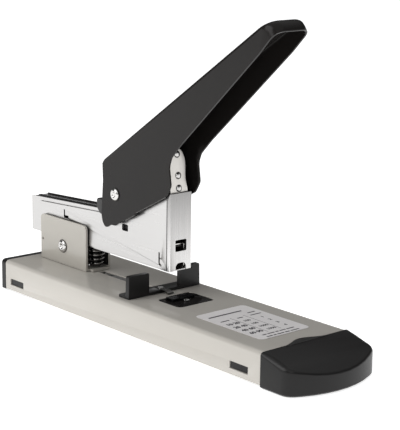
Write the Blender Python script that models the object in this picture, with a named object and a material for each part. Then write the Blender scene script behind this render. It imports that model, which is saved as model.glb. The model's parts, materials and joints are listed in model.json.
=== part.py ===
"""Heavy-duty desk stapler: a long steel base with plastic end caps, a tilting head that holds the
staple magazine, a folded lever handle that drives the blade, and a sliding paper guide.

Metres, +Z up, +X towards the nose. The floor is z = 0 and the centre line is y = 0. Places along the
machine are measured from the rear end of the steel base channel; the bench empty then moves the
whole part so that its box is centred on the origin. The lever is drawn in its own frame, along its
top edge, and its empty leans that frame up at the rest angle.
"""

import math

import bmesh
import bpy
from mathutils import Matrix, Vector

MM = 0.001

# Clearances, overruns and smoothness shared by the pieces
GAP = 0.3 * MM
OVERRUN = 1.0 * MM
RIVET_PLAY = 0.3 * MM
CORNER_STEPS = 4
ROUND_SIDES = 20
SMALL_SIDES = 14
SMOOTH_ANGLE = math.radians(35)

# Section of a rivet's dome: shares of the head's radius and of the dome's height
DOME_SHARES = ((1.0, 0.0), (0.94, 0.45), (0.7, 0.82), (0.3, 1.0))

# Base channel, a folded sheet open underneath
BASE_LENGTH = 250.0 * MM
BASE_WIDTH = 66.6 * MM
BASE_HEIGHT = 19.45 * MM
BASE_SHEET = 1.2 * MM
BASE_FOLD_RADIUS = 2.6 * MM
FLOOR_CLEARANCE = 1.5 * MM

# Windows in the base's side walls, where the end caps' catches show
WINDOW_LENGTH = 15.0 * MM
WINDOW_HEIGHT = 4.2 * MM
WINDOW_SILL = 3.6 * MM
REAR_WINDOW_X = 5.6 * MM
FRONT_WINDOW_INSET = 10.8 * MM

# Plastic end caps
NOSE_REACH = 31.0 * MM
NOSE_OVERHANG = 1.1 * MM
NOSE_FRONT_RADIUS = 62.0 * MM
NOSE_CORNER_RADIUS = 8.6 * MM
NOSE_DROP = 9.6 * MM
NOSE_DROP_POWER = 1.65
NOSE_SEAM_RADIUS = 2.0 * MM
NOSE_SHOULDER_RADIUS = 4.4 * MM
NOSE_RIM_RADIUS = 1.2 * MM
NOSE_TOE_RADIUS = 1.0 * MM
NOSE_EDGE_STEPS = 4
NOSE_SHOULDER_SHARE = 0.4
NOSE_RIM_SHARE = 0.82
NOSE_WALL = 2.4 * MM
TONGUE_LENGTH = 5.0 * MM
TONGUE_WIDTH = 32.0 * MM
NOSE_BOTTOM = 0.4 * MM
REAR_CAP_THICKNESS = 4.6 * MM
REAR_CAP_BOTTOM = 1.0 * MM
CAP_ARM_LENGTH = 30.0 * MM
CAP_ARM_THICKNESS = 2.2 * MM
CATCH_DEPTH = 0.8 * MM

# Rubber feet pressed into bosses of the caps
FOOT_RADIUS = 5.0 * MM
FOOT_THICKNESS = 1.4 * MM
FOOT_STEM_RADIUS = 2.0 * MM
FOOT_STEM_LENGTH = 5.0 * MM
FOOT_BOSS_WALL = 1.6 * MM
FOOT_SIDE_INSET = 11.3 * MM
FOOT_INSET = 12.0 * MM

# Stand bracket riveted to the base
BRACKET_REAR_X = 8.1 * MM
BRACKET_LENGTH = 50.4 * MM
BRACKET_WIDTH = 19.7 * MM
BRACKET_HEIGHT = 30.2 * MM
BRACKET_SHEET = 1.5 * MM
BRACKET_CORNER_RADIUS = 3.0 * MM
BRACKET_TAB_LENGTH = 3.4 * MM
BRACKET_TAB_WIDTH = 13.4 * MM
BRACKET_PEEP_RADIUS = 0.9 * MM
BRACKET_PEEP_INSET = 2.1 * MM
BRACKET_PEEP_HEIGHT = 13.3 * MM
BRACKET_RIVET_RADIUS = 2.0 * MM
BRACKET_RIVET_HEAD_RADIUS = 3.8 * MM
BRACKET_RIVET_HEAD = 1.3 * MM
BRACKET_RIVET_INSET = 10.0 * MM

# Head hinge on the bracket
PIVOT_X = 33.1 * MM
PIVOT_HEIGHT = 12.55 * MM
PIVOT_PIN_RADIUS = 2.2 * MM
PIVOT_HEAD_RADIUS = 4.1 * MM
PIVOT_HEAD_DOME = 1.3 * MM
BUSH_WALL = 1.1 * MM

# Lift spring between the bracket's tab and the underside of the head
LIFT_SPRING_X = 57.6 * MM
LIFT_SPRING_TOP_RADIUS = 5.0 * MM
LIFT_SPRING_FOOT_RADIUS = 3.2 * MM
LIFT_SPRING_WIRE = 1.3 * MM
LIFT_SPRING_CURLS = 4.5

# Head: two side plates joined by the front column
HEAD_CLEARANCE = 16.55 * MM
STAPLE_LINE_X = 142.0 * MM
PLATE_REAR_X = 4.5 * MM
PLATE_SHEET = 0.7 * MM
PLATE_WIDTH = 15.4 * MM
PLATE_REAR_HEIGHT = 21.5 * MM
PLATE_SADDLE_HEIGHT = 25.3 * MM
PLATE_FRONT_HEIGHT = 47.4 * MM
PLATE_FRONT_INSET = 3.1 * MM
EAR_RADIUS = 6.0 * MM
EAR_WIDTH = 17.0 * MM
EAR_MARGIN = 7.0 * MM
COLUMN_WIDTH = 17.2 * MM
COLUMN_HEIGHT = 48.0 * MM
PLATE_LIFT = 1.0 * MM
COLUMN_SHEET = 0.6 * MM
COLUMN_FLANGE = 3.4 * MM
COLUMN_FOLD_RADIUS = 1.1 * MM
PORT_WIDTH = 8.6 * MM
PORT_HEIGHT = 7.0 * MM
PORT_SILL = 12.0 * MM
ARCH_RADIUS = 4.0 * MM
ARCH_RISE = 0.6 * MM

# Small openings stamped through the side plates and the magazine channel
SLOT_WIDTH = 1.3 * MM
HOOK_SLOT_X = 32.0 * MM
HOOK_SLOT_TOP = 20.3 * MM
HOOK_SLOT_HEIGHT = 5.6 * MM
HOOK_SLOT_FOOT = 5.2 * MM
HOOK_SLOT_FOOT_HEIGHT = 1.9 * MM
SQUARE_HOLE_X = 96.8 * MM
SQUARE_HOLE_LENGTH = 6.0 * MM
SQUARE_HOLE_HEIGHT = 4.2 * MM
SQUARE_HOLE_SILL = 18.1 * MM
LATCH_SLOT_INSET = 12.1 * MM
LATCH_SLOT_FOOT_HEIGHT = 2.0 * MM
LATCH_SLOT_HEIGHT = 9.0 * MM
LATCH_SLOT_TICK = 3.0 * MM
LATCH_TICK_SHARE = 0.55

# Magazine: channel, core rail, lid, follower and staples
CHANNEL_WIDTH = 13.4 * MM
CHANNEL_SHEET = 0.6 * MM
CHANNEL_OVERHANG = 6.8 * MM
CHANNEL_REAR_HEIGHT = 23.4 * MM
CHANNEL_SADDLE_HEIGHT = 27.6 * MM
CHANNEL_FRONT_HEIGHT = 22.0 * MM
CHANNEL_STEP_LENGTH = 4.0 * MM
RAIL_WIDTH = 9.0 * MM
RAIL_HEIGHT = 15.0 * MM
RAIL_SHEET = 0.8 * MM
END_PLATE_THICKNESS = 2.0 * MM
LID_THICKNESS = 1.2 * MM
STAPLE_WIRE = 0.9 * MM
STAPLE_LEG = 14.6 * MM
STRIP_LENGTH = 40.6 * MM
FOLLOWER_LENGTH = 12.0 * MM
ROD_RADIUS = 0.8 * MM
ROD_HEIGHT = 19.1 * MM
FOLLOWER_SPRING_RADIUS = 1.7 * MM
FOLLOWER_SPRING_WIRE = 0.6 * MM
FOLLOWER_SPRING_CURLS = 14

# Plastic pieces on top of the head
COVER_RECESS = 0.6 * MM
COVER_THICKNESS = 1.0 * MM
COVER_LIP = 2.0 * MM
COVER_RIB_WIDTH = 2.4 * MM
COVER_RIB_HEIGHT = 0.4 * MM
SADDLE_X = 69.8 * MM
SADDLE_LENGTH = 9.2 * MM
SADDLE_WALL = 1.6 * MM
SADDLE_HEIGHT = 9.9 * MM
SADDLE_SKIRT = 3.0 * MM
SADDLE_CHAMFER = 3.6 * MM

# Driver: the blade with its waisted top, the carrier behind it and three rivets
BLADE_THICKNESS = 1.2 * MM
BLADE_WIDTH = 13.0 * MM
BLADE_REST_HEIGHT = 21.0 * MM
BLADE_BEND_HEIGHT = 44.0 * MM
BLADE_LEAN = math.radians(5.8)
BLADE_TOP_HEIGHT = 75.5 * MM
BLADE_RIVET_RADIUS = 1.3 * MM
BLADE_RIVET_HEAD_RADIUS = 1.9 * MM
BLADE_RIVET_HEAD = 0.54 * MM
BLADE_RIVET_CROWN_SHARES = ((2 / 3, 0.8), (1.0, 0.4))
BLADE_RIVET_DROPS = (3.4 * MM, 16.3 * MM, 24.0 * MM)
BLADE_SETBACK = 1.6 * MM
BLADE_TOP_WIDTH = 13.5 * MM
CARRIER_WIDTH = 9.6 * MM
CARRIER_DEPTH = 6.0 * MM
CARRIER_ARM = 2.6 * MM
CARRIER_UPPER_ARM = 4.0 * MM

# Lever handle, drawn from its hinge along its top edge
HANDLE_SLOPE = math.radians(33.6)
HANDLE_HINGE_X = 92.4 * MM
HANDLE_HINGE_HEIGHT = 41.1 * MM
HANDLE_REACH = 181.5 * MM
HANDLE_CROWN = 24.1 * MM
HANDLE_WIDTH = 24.0 * MM
HANDLE_FLARE = 1.7 * MM
HANDLE_FLARE_SHARE = 0.3
HANDLE_SHEET = 1.2 * MM
HANDLE_FOLD_RADIUS = 2.0 * MM
HANDLE_TIP_RADIUS = 7.5 * MM
HANDLE_NOSE_RADIUS = 6.0 * MM
HANDLE_PIN_RADIUS = 3.0 * MM
HANDLE_PIN_HEAD_RADIUS = 3.9 * MM
HANDLE_PIN_DOME = 1.3 * MM
WASHER_RADIUS = 6.0 * MM

# Outline of the handle's flanges, chosen by hand: shares of the reach along the top edge, shares of
# the crown square to it, and shares of the tip radius for the rounding of each corner
HANDLE_OUTLINE_SHARES = (
    (0.012, 1.000, 0.25),
    (-0.006, 0.920, 0.20),
    (-0.036, 0.542, 0.40),
    (-0.111, -0.190, 0.80),
    (-0.120, -0.380, 0.50),
    (-0.117, -0.532, 0.30),
    (-0.106, -0.580, 0.25),
    (-0.083, -0.594, 0.20),
    (-0.073, -0.632, 0.20),
    (-0.060, -0.694, 0.30),
    (-0.034, -0.698, 0.20),
    (-0.022, -0.694, 0.20),
    (0.000, -0.736, 0.20),
    (0.058, -0.779, 0.10),
    (0.063, -0.746, 0.10),
    (0.189, -0.846, 0.60),
    (0.247, -0.898, 0.55),
    (0.288, -0.751, 0.55),
    (0.315, -0.314, 1.10),
    (0.343, -0.162, 0.90),
    (0.412, -0.054, 1.00),
    (0.535, 0.087, 1.00),
    (0.720, 0.295, 1.00),
    (0.893, 0.482, 0.80),
    (0.952, 0.577, 0.60),
    (0.985, 0.627, 0.20),
    (1.000, 0.627, 0.10),
    (1.000, 1.000, 1.00),
)

# Depths below the handle's crown at which its rounded edges are cut into rings, as shares of the nose
# radius
HANDLE_RING_SHARES = (1.0, 0.6, 0.33, 0.17, 0.045, 0.0)

# Outline of the blade's waisted top, chosen by hand: shares of its rise above the column, and of its
# half width
BLADE_TOP_SHARES = (
    (-0.06, 1.00),
    (0.07, 0.985),
    (0.16, 0.91),
    (0.25, 0.85),
    (0.37, 0.825),
    (0.48, 0.86),
    (0.59, 0.905),
    (0.70, 0.885),
    (0.775, 0.83),
    (0.845, 0.73),
    (0.92, 0.57),
    (0.975, 0.34),
    (1.0, 0.12),
)

# Drive bracket welded inside the handle, its pin, sleeve and the return spring below it
DRIVE_PIN_FORWARD = 40.0 * MM
DRIVE_PIN_RISE = 10.0 * MM
DRIVE_PIN_RADIUS = 1.6 * MM
DRIVE_SLEEVE_RADIUS = 3.0 * MM
DRIVE_SLEEVE_TRAVEL = 1.4 * MM
DRIVE_EYE_RADIUS = 3.6 * MM
DRIVE_EYE_ROUND_SHARE = 0.9
DRIVE_BRACKET_WIDTH = 13.2 * MM
DRIVE_BRACKET_SHEET = 1.0 * MM
DRIVE_BRACKET_REAR = 8.0 * MM
DRIVE_BRACKET_FRONT = 22.0 * MM
DRIVE_SHELF_REAR = 19.0 * MM
DRIVE_SHELF_FRONT = 31.4 * MM
DRIVE_SHELF_RISE = 11.7 * MM
RETURN_SPRING_FORWARD = 25.4 * MM
RETURN_SPRING_RADIUS = 4.0 * MM
RETURN_SPRING_WIRE = 1.2 * MM
RETURN_SPRING_CURLS = 7

# Anvil let into the base top
ANVIL_LENGTH = 21.6 * MM
ANVIL_WIDTH = 28.2 * MM
ANVIL_SETBACK = 5.3 * MM
ANVIL_CORNER_RADIUS = 3.0 * MM
ANVIL_THICKNESS = 2.6 * MM
ANVIL_RECESS = 0.3 * MM
DIE_LENGTH = 7.0 * MM
DIE_WIDTH = 18.0 * MM
DIE_RISE = 1.25 * MM
DIE_SINK = 1.2 * MM
DIE_POCKET_LENGTH = 6.2 * MM
DIE_POCKET_WIDTH = 1.8 * MM
DIE_POCKET_DEPTH = 0.6 * MM
DIE_POCKET_SPACING = 7.6 * MM
ANVIL_SCREW_RADIUS = 1.4 * MM
ANVIL_SCREW_HEAD_RADIUS = 2.1 * MM
ANVIL_SCREW_HEAD = 0.7 * MM
ANVIL_SCREW_SLOT = 0.5 * MM
ANVIL_SCREW_SETBACK = 5.8 * MM
SUPPORT_LENGTH = 36.0 * MM
SUPPORT_WIDTH = 40.0 * MM
SUPPORT_SHEET = 1.6 * MM

# Paper guide and the slot that it slides in
GUIDE_SETBACK = 15.0 * MM
GUIDE_WIDTH = 56.8 * MM
GUIDE_DEPTH = 9.6 * MM
GUIDE_FLANGE = 1.75 * MM
UPRIGHT_THICKNESS = 3.2 * MM
UPRIGHT_HEIGHT = 14.2 * MM
UPRIGHT_INNER = 12.4 * MM
UPRIGHT_ROUNDING = 0.8 * MM
DIP_DEPTH = 2.4 * MM
DIP_INSET = 2.3 * MM
DIP_WIDTH = 7.4 * MM
GUIDE_SLOT_REAR_X = 62.5 * MM
GUIDE_SLOT_WIDTH = 5.6 * MM
STRIP_REAR_GAP = 12.0 * MM
STRIP_FOOT_WIDTH = 9.2 * MM
STRIP_FOOT_THICKNESS = 1.6 * MM
STRIP_RISE = 1.0 * MM
GUIDE_RAIL_WIDTH = 14.0 * MM
GUIDE_RAIL_OVERLAP = 3.8 * MM
GUIDE_RAIL_SHEET = 1.2 * MM
CLIP_WIDTH = 4.6 * MM
CLIP_SHEET = 0.6 * MM
CLIP_TAIL = 7.0 * MM
CLIP_REACH = 5.6 * MM
GUIDE_RIVET_RADIUS = 1.2 * MM
GUIDE_RIVET_HEAD_RADIUS = 1.9 * MM
GUIDE_RIVET_HEAD = 0.5 * MM
GUIDE_RIVET_SETBACK = 4.0 * MM

# Table label stuck on the base top
ANVIL_TO_LABEL = 19.5 * MM
LABEL_WIDTH = 38.8 * MM
LABEL_THICKNESS = 0.2 * MM
LABEL_INSET = 15.0 * MM
LABEL_CORNER_RADIUS = 3.0 * MM
LABEL_GLUE = 0.1 * MM

# Heights and places worked out from the sizes above
base_top = FLOOR_CLEARANCE + BASE_HEIGHT
sheet_under = base_top - BASE_SHEET
bracket_floor = base_top + GAP
bracket_floor_top = bracket_floor + BRACKET_SHEET
pivot_z = base_top + PIVOT_HEIGHT
head_bottom = base_top + HEAD_CLEARANCE
hinge_z = head_bottom + HANDLE_HINGE_HEIGHT
plate_bottom = head_bottom + PLATE_LIFT
column_top = plate_bottom + COLUMN_HEIGHT
column_inner_x = STAPLE_LINE_X - COLUMN_SHEET
plate_front_x = STAPLE_LINE_X - PLATE_FRONT_INSET
blade_front_x = STAPLE_LINE_X - BLADE_SETBACK
blade_rear_x = blade_front_x - BLADE_THICKNESS
channel_rear_x = -CHANNEL_OVERHANG
channel_floor_top = head_bottom + CHANNEL_SHEET
channel_inner = CHANNEL_WIDTH / 2 - CHANNEL_SHEET
channel_front_top = head_bottom + CHANNEL_FRONT_HEIGHT
saddle_front_x = SADDLE_X + SADDLE_LENGTH
plate_outer = PLATE_WIDTH / 2
plate_inner = plate_outer - PLATE_SHEET
rail_bottom = channel_floor_top + GAP
rail_top = rail_bottom + RAIL_HEIGHT
rail_rear_x = channel_rear_x + GAP + END_PLATE_THICKNESS + GAP
strip_rear_x = plate_front_x - STRIP_LENGTH
follower_rear_x = strip_rear_x - GAP - FOLLOWER_LENGTH
lid_bottom = channel_front_top + GAP
lid_top = lid_bottom + LID_THICKNESS
anvil_centre_x = STAPLE_LINE_X + ANVIL_SETBACK
guide_front_x = STAPLE_LINE_X - GUIDE_SETBACK
guide_bottom = base_top + GAP
guide_flange_top = guide_bottom + GUIDE_FLANGE
guide_rivet_x = guide_front_x - GUIDE_RIVET_SETBACK
nose_tip_x = BASE_LENGTH + NOSE_REACH
nose_half = BASE_WIDTH / 2 + NOSE_OVERHANG
foot_y = BASE_WIDTH / 2 - FOOT_SIDE_INSET
bench_shift = -(nose_tip_x + channel_rear_x) / 2

BODIES = {}


def start_clean():
    """Removes whatever the scene holds."""
    for obj in list(bpy.data.objects):
        bpy.data.objects.remove(obj, do_unlink=True)


def add_empty(name, place, parent=None, lean=0.0):
    """An empty that carries a body: it stands on the body's joint axis."""
    empty = bpy.data.objects.new(name, None)
    bpy.context.scene.collection.objects.link(empty)
    empty.empty_display_size = FOOT_RADIUS
    empty.parent = parent
    empty.location = place
    empty.rotation_euler = (0.0, lean, 0.0)
    return empty


def make_bodies():
    """The bench, and one empty for each group of pieces that moves."""
    bench = add_empty("bench", (bench_shift, 0.0, 0.0))
    pivot = (PIVOT_X, 0.0, pivot_z)
    hinge = (HANDLE_HINGE_X, 0.0, hinge_z)
    BODIES["base"] = (bench, Vector((0.0, 0.0, 0.0)))
    BODIES["guide"] = (add_empty("guide_slide", (guide_rivet_x, 0.0, base_top), bench), None)
    BODIES["head"] = (add_empty("head_hinge", pivot, bench), None)
    BODIES["cover"] = (add_empty("cover_slide", (SADDLE_X, 0.0, channel_front_top), bench), None)
    BODIES["follower"] = (add_empty("follower_slide", (follower_rear_x, 0.0, rail_top), bench), None)
    BODIES["ram"] = (add_empty("ram_slide", (blade_rear_x, 0.0, column_top), bench), None)
    for name, (empty, _) in list(BODIES.items())[1:]:
        BODIES[name] = (empty, -empty.location)
    BODIES["handle"] = (add_empty("handle_hinge", hinge, bench, -HANDLE_SLOPE), Vector((0.0, 0.0, 0.0)))


def make_material(name, colour, roughness, metallic=0.0):
    """A plain Principled material in the piece's own colour."""
    material = bpy.data.materials.new(name)
    material.use_nodes = True
    shader = material.node_tree.nodes["Principled BSDF"]
    shader.inputs["Base Color"].default_value = (*colour, 1.0)
    shader.inputs["Roughness"].default_value = roughness
    shader.inputs["Metallic"].default_value = metallic
    material.diffuse_color = (*colour, 1.0)
    return material


def add_object(name, mesh_data, body, material=None):
    """An object on its body's empty. With no material it is a cutter or a helper, and isn't rendered."""
    mesh = bpy.data.meshes.new(name)
    bmesh.ops.recalc_face_normals(mesh_data, faces=mesh_data.faces)
    mesh_data.to_mesh(mesh)
    mesh_data.free()
    obj = bpy.data.objects.new(name, mesh)
    bpy.context.scene.collection.objects.link(obj)
    empty, offset = BODIES[body]
    obj.parent = empty
    obj.location = offset
    if material is None:
        obj.hide_render = True
        obj.display_type = "WIRE"
    else:
        mesh.materials.append(material)
        mesh.shade_smooth()
        mesh.set_sharp_from_angle(angle=SMOOTH_ANGLE)
    return obj


def combine(obj, mesh_data, body, operation):
    """Joins a shape to an object, or cuts it away, with a Boolean."""
    helper = add_object(f"{obj.name}_{operation.lower()}_{len(obj.modifiers)}", mesh_data, body)
    modifier = obj.modifiers.new(operation.title(), "BOOLEAN")
    modifier.operation = operation
    modifier.solver = "EXACT"
    modifier.object = helper
    return obj


AXES = {
    "x": lambda along, first, second: (along, first, second),
    "y": lambda along, first, second: (first, along, second),
    "z": lambda along, first, second: (first, second, along),
}


def prism(outline, axis, low, high):
    """A flat outline drawn out along an axis. The outline is (y, z), (x, z) or (x, y)."""
    place = AXES[axis]
    shape = bmesh.new()
    near = [shape.verts.new(place(low, *point)) for point in outline]
    far = [shape.verts.new(place(high, *point)) for point in outline]
    shape.faces.new(near)
    shape.faces.new(far)
    for index in range(len(outline)):
        after = (index + 1) % len(outline)
        shape.faces.new((near[index], near[after], far[after], far[index]))
    return shape


def block(x_range, y_range, z_range):
    """A rectangular block."""
    (left, right), (near, far), (low, high) = x_range, y_range, z_range
    return prism(((left, near), (right, near), (right, far), (left, far)), "z", low, high)


def turned(profile, axis, centre, sides=ROUND_SIDES):
    """A profile of (along, radius) pairs turned about an axis through a centre."""
    place = AXES[axis]
    origin = Vector(centre)
    shape = bmesh.new()
    rings = []
    for along, radius in profile:
        ring = []
        for step in range(sides):
            angle = 2 * math.pi * (step + 0.5) / sides
            spot = Vector(place(along, radius * math.cos(angle), radius * math.sin(angle)))
            ring.append(shape.verts.new(origin + spot))
        rings.append(ring)
    join_rings(shape, rings)
    return shape


def join_rings(shape, rings):
    """Bridges rings of as many points each, and closes the first and the last."""
    for ring, after in zip(rings, rings[1:]):
        for index in range(len(ring)):
            beside = (index + 1) % len(ring)
            shape.faces.new((ring[index], ring[beside], after[beside], after[index]))
    shape.faces.new(rings[0])
    shape.faces.new(rings[-1])


def rod(radius, axis, centre, low, high, sides=ROUND_SIDES):
    """A plain round bar."""
    return turned(((low, radius), (high, radius)), axis, centre, sides)


def tube(outer, inner, axis, centre, low, high, sides=ROUND_SIDES):
    """A round tube: outer wall, end face and bore in one closed loop of rings."""
    place = AXES[axis]
    origin = Vector(centre)
    shape = bmesh.new()
    rings = []
    for along, radius in ((low, inner), (low, outer), (high, outer), (high, inner)):
        ring = []
        for step in range(sides):
            angle = 2 * math.pi * (step + 0.5) / sides
            spot = Vector(place(along, radius * math.cos(angle), radius * math.sin(angle)))
            ring.append(shape.verts.new(origin + spot))
        rings.append(ring)
    for ring, after in zip(rings, rings[1:] + rings[:1]):
        for index in range(sides):
            beside = (index + 1) % sides
            shape.faces.new((ring[index], ring[beside], after[beside], after[index]))
    return shape


def filleted(corners, steps=CORNER_STEPS):
    """An outline whose corners (a, b, radius) are rounded with arcs."""
    points = []
    count = len(corners)
    for index, (first, second, radius) in enumerate(corners):
        here = Vector((first, second))
        before = Vector(corners[index - 1][:2]) - here
        after = Vector(corners[(index + 1) % count][:2]) - here
        angle = before.angle(after)
        reach = radius / math.tan(angle / 2) if radius > 0 else 0.0
        limit = min(before.length, after.length) / 2
        if reach > limit:
            reach = limit
            radius = reach * math.tan(angle / 2)
        if reach <= 0 or math.pi - angle < math.radians(2):
            points.append((first, second))
            continue
        towards = (before.normalized() + after.normalized()).normalized()
        centre = here + towards * (radius / math.sin(angle / 2))
        start = here + before.normalized() * reach - centre
        end = here + after.normalized() * reach - centre
        sweep = start.angle_signed(end)
        for step in range(steps + 1):
            turn = sweep * step / steps
            spoke = Vector(
                (
                    start.x * math.cos(turn) + start.y * math.sin(turn),
                    start.y * math.cos(turn) - start.x * math.sin(turn),
                )
            )
            points.append(tuple(centre + spoke))
    return points


def rectangle(first_range, second_range, radius=0.0):
    """The four corners of a rectangle, for filleted()."""
    (left, right), (low, high) = first_range, second_range
    return ((left, low, radius), (right, low, radius), (right, high, radius), (left, high, radius))


def arch_section(half, top, bottom, sheet, radius):
    """The section of a folded sheet like an inverted U, with rounded outer folds."""
    inner = half - sheet
    under = top - sheet
    inner_radius = max(radius - sheet, sheet / 4)
    corners = (
        (-half, bottom, 0.0),
        (-half, top, radius),
        (half, top, radius),
        (half, bottom, 0.0),
        (inner, bottom, 0.0),
        (inner, under, inner_radius),
        (-inner, under, inner_radius),
        (-inner, bottom, 0.0),
    )
    return filleted(corners)


def trough_section(half, bottom, top, sheet, radius):
    """The section of a folded sheet like an upright U."""
    arch = arch_section(half, top, bottom, sheet, radius)
    return [(across, bottom + top - height) for across, height in arch]


def spring_wire(name, body, material, wire, curls, place, points_per_curl=9):
    """An unbroken helix as a curve with a round bevel. place(share) gives axis point, radius and two
    spokes; the tube runs straight for one wire diameter at each end."""
    count = int(round(curls * points_per_curl))
    path = []
    for index in range(count + 1):
        share = index / count
        centre, radius, first, second = place(share)
        angle = 2 * math.pi * curls * share
        path.append(centre + radius * (first * math.cos(angle) + second * math.sin(angle)))
    lead = path[0] + (path[0] - path[1]).normalized() * wire
    tail = path[-1] + (path[-1] - path[-2]).normalized() * wire
    path = [lead, *path, tail]
    print(f"{name}: least gap between curls {least_gap(path, points_per_curl, wire) / MM:.2f} mm")
    curve = bpy.data.curves.new(name, "CURVE")
    curve.dimensions = "3D"
    curve.bevel_depth = wire / 2
    curve.bevel_resolution = 1
    curve.use_fill_caps = True
    spline = curve.splines.new("POLY")
    spline.points.add(len(path) - 1)
    for point, spot in zip(spline.points, path):
        point.co = (*spot, 1.0)
    curve.materials.append(material)
    obj = bpy.data.objects.new(name, curve)
    bpy.context.scene.collection.objects.link(obj)
    empty, offset = BODIES[body]
    obj.parent = empty
    obj.location = offset
    return obj


def least_gap(path, points_per_curl, wire):
    """The least distance between a tube and itself, from points at least half a curl apart."""
    least = math.inf
    apart = points_per_curl // 2 + 1
    for index, spot in enumerate(path):
        for other in path[index + apart :]:
            least = min(least, (spot - other).length)
    return least - wire


def upright_spring(x, low, high, foot_radius, top_radius):
    """The path of a spring that stands on z = low, for spring_wire()."""

    def place(share):
        centre = Vector((x, 0.0, low + (high - low) * share))
        radius = foot_radius + (top_radius - foot_radius) * share
        return centre, radius, Vector((1.0, 0.0, 0.0)), Vector((0.0, 1.0, 0.0))

    return place


def rivet_profile(shank, head, dome, low, high):
    """A rivet along its axis from low to high, with a domed head beyond each end."""
    lower = [(low - dome * rise, head * share) for share, rise in reversed(DOME_SHARES)]
    upper = [(high + dome * rise, head * share) for share, rise in DOME_SHARES]
    return [*lower, (low, shank), (high, shank), *upper]


# Base


def seam_x(across):
    """Where the base channel's top edge meets the nose, which reaches back in a soft tongue."""
    share = min(abs(across) / (TONGUE_WIDTH / 2), 1.0)
    ease = share * share * (3 - 2 * share)
    return BASE_LENGTH - TONGUE_LENGTH * (1 - ease)


def seam_curve(shift=0.0, steps=12):
    """Points of the tongue's edge from -Y to +Y, moved by shift along X."""
    half = TONGUE_WIDTH / 2
    places = [half * (2 * step / steps - 1) for step in range(steps + 1)]
    return [(seam_x(across) + shift, across) for across in places]


def window_spans():
    """The X spans of the windows in the side walls."""
    front = BASE_LENGTH - FRONT_WINDOW_INSET
    return ((REAR_WINDOW_X, REAR_WINDOW_X + WINDOW_LENGTH), (front - WINDOW_LENGTH, front))


def anvil_outline(margin=0.0):
    """The anvil plate's outline, or the opening around it."""
    half_x = ANVIL_LENGTH / 2 + margin
    half_y = ANVIL_WIDTH / 2 + margin
    spans = ((anvil_centre_x - half_x, anvil_centre_x + half_x), (-half_y, half_y))
    return filleted(rectangle(*spans, ANVIL_CORNER_RADIUS + margin))


def bracket_rivet_places():
    """Two rivets on the centre line, one behind and one before the head's hinge."""
    front = BRACKET_REAR_X + BRACKET_LENGTH - BRACKET_RIVET_INSET
    return (BRACKET_REAR_X + BRACKET_RIVET_INSET, front)


def build_base_channel(paint):
    """The long folded channel with its slot, anvil opening, windows and the tongue's cut-out."""
    half = BASE_WIDTH / 2
    section = arch_section(half, base_top, FLOOR_CLEARANCE, BASE_SHEET, BASE_FOLD_RADIUS)
    channel = add_object("base_channel", prism(section, "x", 0.0, BASE_LENGTH), "base", paint)
    above = base_top + OVERRUN
    below = sheet_under - OVERRUN
    slot_front = guide_front_x - UPRIGHT_THICKNESS / 2
    slot_half = GUIDE_SLOT_WIDTH / 2
    slot = filleted(rectangle((GUIDE_SLOT_REAR_X, slot_front), (-slot_half, slot_half), slot_half / 3))
    combine(channel, prism(slot, "z", below, above), "base", "DIFFERENCE")
    combine(channel, prism(anvil_outline(GAP), "z", below, above), "base", "DIFFERENCE")
    beyond = BASE_LENGTH + OVERRUN
    tongue = [(beyond, -TONGUE_WIDTH / 2), *seam_curve(), (beyond, TONGUE_WIDTH / 2)]
    combine(channel, prism(tongue, "z", below, above), "base", "DIFFERENCE")
    sill = FLOOR_CLEARANCE + WINDOW_SILL
    for span in window_spans():
        walls = (-half - OVERRUN, half + OVERRUN)
        combine(channel, block(span, walls, (sill, sill + WINDOW_HEIGHT)), "base", "DIFFERENCE")
    hole = BRACKET_RIVET_RADIUS + RIVET_PLAY
    for x in bracket_rivet_places():
        drill = rod(hole, "z", (x, 0.0, 0.0), below, above, SMALL_SIDES)
        combine(channel, drill, "base", "DIFFERENCE")


def nose_outline(inset, rear):
    """The nose from above, from its -Y rear corner round to its +Y rear corner, inset from the skin."""
    half = nose_half - inset
    corner = NOSE_CORNER_RADIUS - inset
    front = NOSE_FRONT_RADIUS - inset
    front_centre = nose_tip_x - NOSE_FRONT_RADIUS
    corner_y = nose_half - NOSE_CORNER_RADIUS
    corner_x = front_centre + math.sqrt((NOSE_FRONT_RADIUS - NOSE_CORNER_RADIUS) ** 2 - corner_y**2)
    meet = math.atan2(corner_y, corner_x - front_centre)
    points = [(rear, half), ((rear + corner_x) / 2, half)]
    for step in range(CORNER_STEPS + 1):
        angle = math.pi / 2 + (meet - math.pi / 2) * step / CORNER_STEPS
        points.append((corner_x + corner * math.cos(angle), corner_y + corner * math.sin(angle)))
    for step in range(1, CORNER_STEPS + 1):
        angle = meet * (1 - (step - 0.5) / CORNER_STEPS)
        points.append((front_centre + front * math.cos(angle), front * math.sin(angle)))
    mirrored = [(x, -across) for x, across in points]
    return mirrored + points[::-1]


def nose_top(x):
    """The nose's top falls away ever faster towards the tip."""
    share = max(x - BASE_LENGTH, 0.0) / NOSE_REACH
    return base_top - NOSE_DROP * share**NOSE_DROP_POWER


def blend(first, second, share):
    """A value that eases from the first to the second as the share goes from 0 to 1."""
    share = min(max(share, 0.0), 1.0)
    return first + (second - first) * share * share * (3 - 2 * share)


def nose_edge_radius(x):
    """The rounding of the nose's top edge: tight at the seam, soft on the shoulders, tight in front."""
    share = (x - BASE_LENGTH) / NOSE_REACH
    if share < NOSE_SHOULDER_SHARE:
        return blend(NOSE_SEAM_RADIUS, NOSE_SHOULDER_RADIUS, share / NOSE_SHOULDER_SHARE)
    past = (share - NOSE_SHOULDER_SHARE) / (NOSE_RIM_SHARE - NOSE_SHOULDER_SHARE)
    return blend(NOSE_SHOULDER_RADIUS, NOSE_RIM_RADIUS, past)


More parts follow.
